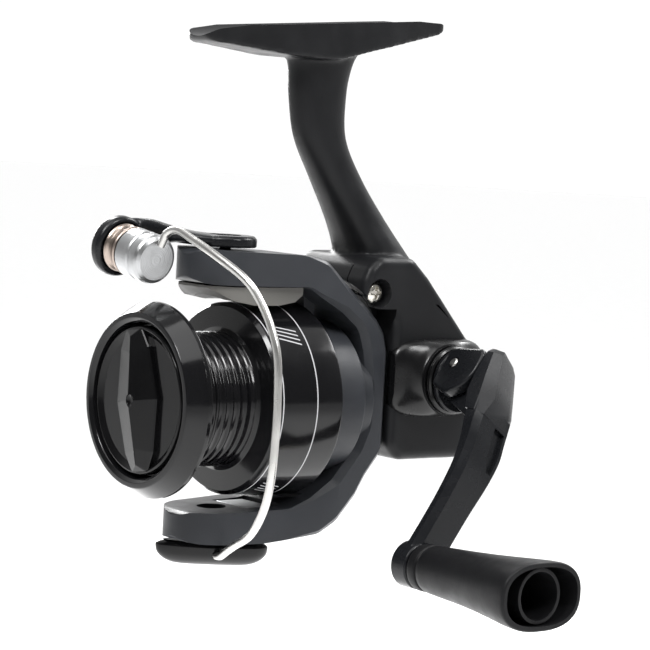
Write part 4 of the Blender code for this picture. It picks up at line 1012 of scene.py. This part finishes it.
ARM_HOOD = (  # height from the crank's axis, then X and Y round the section
    (5.6, (30.4, -5.7), (31.4, -5.7), (33.4, -4.9), (31.9, -1.2), (31.0, 1.0), (30.4, 1.0)),
    (4.6, (30.2, -6.3), (32.0, -6.3), (34.2, -5.5), (31.7, 0.5), (30.9, 2.6), (30.2, 2.6)),
    (-1.0, (30.2, -6.3), (33.4, -6.3), (35.8, -4.6), (34.0, 2.0), (32.5, 4.6), (30.2, 4.6)),
    (-4.6, (30.6, -6.2), (34.4, -6.2), (37.0, -4.0), (35.8, 2.2), (34.6, 4.6), (30.6, 4.6)),
    (-8.6, (32.6, -6.0), (35.2, -6.0), (37.0, -4.6), (36.8, 3.0), (36.0, 4.4), (32.6, 4.4)),
)
ARM_BLADE = (  # distance from the crank axis, inner x, outer x, middle y, half width
    (6.0, 32.6, 36.2, -0.9, 5.0), (10.5, 33.6, 37.4, -0.7, 5.1), (14.5, 35.0, 38.2, -0.2, 5.1),
    (20.0, 36.1, 38.8, 0.0, 4.7), (27.0, 36.4, 38.9, 0.0, 4.3), (34.0, 36.4, 38.9, 0.0, 4.2),
    (41.5, 36.2, 38.9, 0.0, 4.2),
)


def blade_ring(distance, inner, outer, middle, half):
    section = [(inner, -half), (outer - 1.2, -half), (outer, -half + 1.4), (outer, half - 0.6)]
    section += [(outer - 0.6, half), (inner, half)]
    return [(x, middle + y, -distance) for x, y in section]


def crank_arm():
    tongue = [
        (FOLD_X - 2.1, -1.6), (FOLD_X - 2.1, 2.2), (FOLD_X, 3.0), (30.6, 3.0), (34.4, -4.0),
        (34.4, -8.2), (31.5, -9.2), (24.8, -6.8), (21.6, -3.6),
    ]
    arm = plate("crank_arm_piece", tongue, (-3.3, 3.3), CRANK, "Y", corner=1.5)
    hood = loft("hood", [[(x, y, z) for x, y in section] for z, *section in ARM_HOOD], CRANK)
    rows = smooth_path(ARM_BLADE, 6)
    blade = loft("blade", [blade_ring(*row) for row in rows], CRANK, 30)
    pocket = loft("pocket", [blade_pocket(*row) for row in rows[4:17]], CRANK, 30)
    eye = [(0, 38.9), (4.3, 38.9), (4.6, 38.6), (4.6, 34.8), (4.3, 34.5), (0, 34.5)]
    at = (0, 0, -CRANK_RADIUS)
    weld(arm, hood, blade, turned("eye", eye, CRANK, "X", 96, 0.3, at))
    carve(
        arm,
        pocket,
        rod("pin_hole", 1.3, (-5, 5), CRANK, "Y", (FOLD_X, 0, FOLD_Z)),
        rod("eye_hole", 1.9, (30, 42), CRANK, "X", at),
    )
    soften(arm, 0.3, 2, 25)
    stand_for(bake(arm, 35), "crank_arm", ARM_PAINT)


def blade_pocket(distance, _, outer, middle, half):
    """The shallow channel along the rear half of the arm's outer face."""
    taper = min(1.0, (21.0 - distance) / 6)
    low, high = half - 1.1 - 3.6 * max(0.35, taper), half - 1.1
    floor, above = outer - 0.9, outer + 3
    section = [(floor, low + 0.3), (above, low), (above, high), (floor, high - 0.3)]
    return [(x, middle + y, -distance) for x, y in section]


KNOB_RINGS = (  # x, half width across, half height, squareness
    (39.3, 4.0, 4.0, 2.0), (39.4, 4.4, 4.4, 2.0), (39.8, 4.65, 4.65, 2.0), (41.4, 4.65, 4.65, 2.0),
    (41.7, 4.4, 4.4, 2.0), (41.9, 4.3, 4.3, 2.0), (42.2, 4.35, 4.35, 2.0), (42.6, 4.75, 4.7, 2.0),
    (46.0, 5.1, 4.9, 2.05), (52.0, 5.9, 5.2, 2.1), (58.0, 7.05, 5.55, 2.2), (64.0, 8.4, 6.0, 2.35),
    (69.0, 9.5, 6.4, 2.5), (72.0, 9.98, 6.58, 2.5), (72.9, 9.95, 6.55, 2.5), (73.2, 9.6, 6.25, 2.5),
)


def knob_ring(x, half_y, half_z, power):
    return [(x, y, z) for y, z in oval(half_y, half_z, power, 96)]


def handle_knob():
    knob = loft("handle_knob_piece", [knob_ring(*row) for row in smooth_path(KNOB_RINGS, 3)], KNOB)
    wall_y, wall_z = 1.0, 1.0
    pocket = [knob_ring(x, y - wall_y, z - wall_z, power) for x, y, z, power in KNOB_RINGS[11:15]]
    pocket.append([(80.0, y, z) for _, y, z in pocket[-1]])
    carve(knob, loft("pocket", pocket, KNOB))
    weld(knob, rod("tube", 5.3, (58, 72.2), KNOB, "X", steps=96))
    carve(
        knob,
        rod("bore", 4.6, (52.0, 80), KNOB, "X", steps=96),
        rod("spindle_hole", 1.9, (30, 60), KNOB, "X"),
    )
    soften(knob, 0.3, 3, 35)
    stand_for(bake(knob, 40), "handle_knob")
    spindle = [
        (0, 54.0), (1.9, 54.0), (2.7, 53.8), (3.2, 53.3), (3.2, 52.3), (1.5, 52.3), (1.5, 34.2),
        (2.9, 34.2), (2.9, 33.6), (2.2, 33.0), (0, 33.0),
    ]
    made = turned("knob_spindle_piece", spindle, KNOB, "X", 64, 0.12)
    bars = [block("bar", (53.3, -a, -b), (55, a, b), KNOB) for a, b in ((0.35, 2.0), (2.0, 0.35))]
    carve(made, *bars)
    stand_for(soften(made, 0.06, 2, 40), "knob_spindle", SCREW_STEEL, "screw_steel")


def carried_over():
    """The CAD nodes that stay get their slot's material."""
    slots = {part["node"]: part["material_slot"] for part in frame["record"]["subparts"]}
    for name, obj in frame["nodes"].items():
        if obj.hide_render:
            continue
        obj.data.materials.clear()
        obj.data.materials.append(SLOT_LOOKS[slots[name]])


# Room, lights and camera

FLOOR_GAP = 0.12
SUN_POWER, SUN_SPREAD, SUN_FROM = 2.0, math.radians(50), Vector((0.2, -0.35, 1.0))
LAMP_TARGET = Vector((0.012, 0, -0.05))
LAMPS = (  # place, size across, size up, power
    ((0.16, -0.42, 0.42), 0.12, 0.24, 3.0),
    ((0.58, 0.14, 0.50), 0.10, 0.40, 5.0),
    ((-0.55, 0.15, 0.25), 0.12, 0.60, 5.0),
    ((0.05, 0.55, 0.40), 0.5, 0.2, 5.0),
)
WALL_FACING = (-0.78, 0.62, 0.0)
WALL_FADE = (-0.3, 0.6, 0.14, 1.05)  # facing from and to, brightness in front and behind


def lamp(name, data, place, away):
    """Hangs a light at a place, so that it shines against the direction given."""
    made = bpy.data.objects.new(name, data)
    bpy.context.scene.collection.objects.link(made)
    made.location = place
    made.rotation_euler = away.to_track_quat("Z", "Y").to_euler()


def studio():
    floor_z = CAD_BOX[0][2] - FLOOR_GAP
    shape = bmesh.new()
    bmesh.ops.create_circle(shape, cap_ends=True, segments=96, radius=9.0)
    floor = from_bmesh("floor", shape, Matrix.Translation((0, 0, floor_z)))
    floor.data.materials.append(surface("pale_floor", (0.9, 0.9, 0.9), 0.85, 0.0, 0.01, 30, 0.02))

    backdrop()
    bpy.context.scene.view_settings.view_transform = "Standard"
    sun = bpy.data.lights.new("sky_panel", "SUN")
    sun.energy, sun.angle = SUN_POWER, SUN_SPREAD
    lamp("sky_panel", sun, (0, 0, 0), SUN_FROM)
    for k, (place, wide, tall, power) in enumerate(LAMPS):
        light = bpy.data.lights.new(f"lamp_{k}", "AREA")
        light.shape = "RECTANGLE"
        light.size, light.size_y = wide, tall
        light.energy = power
        lamp(f"lamp_{k}", light, place, Vector(place) - LAMP_TARGET)


def backdrop():
    """A white wall of light behind the reel, fading to a dim room in front of it."""
    world = bpy.data.worlds.new("studio")
    bpy.context.scene.world = world
    world.use_nodes = True
    tree = world.node_tree
    place = tree.nodes.new("ShaderNodeTexCoord")
    facing = tree.nodes.new("ShaderNodeVectorMath")
    facing.operation = "DOT_PRODUCT"
    facing.inputs[1].default_value = WALL_FACING
    tree.links.new(place.outputs["Generated"], facing.inputs[0])
    fade = tree.nodes.new("ShaderNodeMapRange")
    fade.interpolation_type = "SMOOTHSTEP"
    for key, number in zip(MAP_ENDS, WALL_FADE):
        fade.inputs[key].default_value = number
    tree.links.new(facing.outputs["Value"], fade.inputs["Value"])
    tree.links.new(fade.outputs["Result"], tree.nodes["Background"].inputs["Strength"])
    tree.nodes["Background"].inputs["Color"].default_value = (1, 1, 1, 1)


CAMERA_TURN = [math.radians(angle) for angle in (51.173, 4.381, 3.26)]  # azimuth, elevation, roll
CAMERA_FROM_SPOOL = Vector((431.7, -341.8, 57.1))
LENS, SENSOR = 149.54, 36.0


def camera():
    azimuth, elevation, roll = CAMERA_TURN
    back = Vector(
        (
            math.sin(azimuth) * math.cos(elevation),
            -math.cos(azimuth) * math.cos(elevation),
            math.sin(elevation),
        )
    )
    right = Vector((math.cos(azimuth), math.sin(azimuth), 0))
    up = back.cross(right)
    level = Matrix((right, up, back)).transposed()
    turn = level @ Matrix.Rotation(roll, 3, "Z")
    data = bpy.data.cameras.new("camera")
    data.lens = LENS
    data.sensor_width = SENSOR
    data.clip_start, data.clip_end = 0.01, 50
    made = bpy.data.objects.new("camera", data)
    bpy.context.scene.collection.objects.link(made)
    made.location = SPOOL_AXIS + CAMERA_FROM_SPOOL * MM
    made.rotation_euler = turn.to_euler()
    bpy.context.scene.camera = made


reel_body()
side_cover()
crank_boss()
fasteners()
rotor()
spool()
drag_knob()
bail_lever()
bail_loop()
handle_root()
crank_arm()
handle_knob()
carried_over()
studio()
camera()
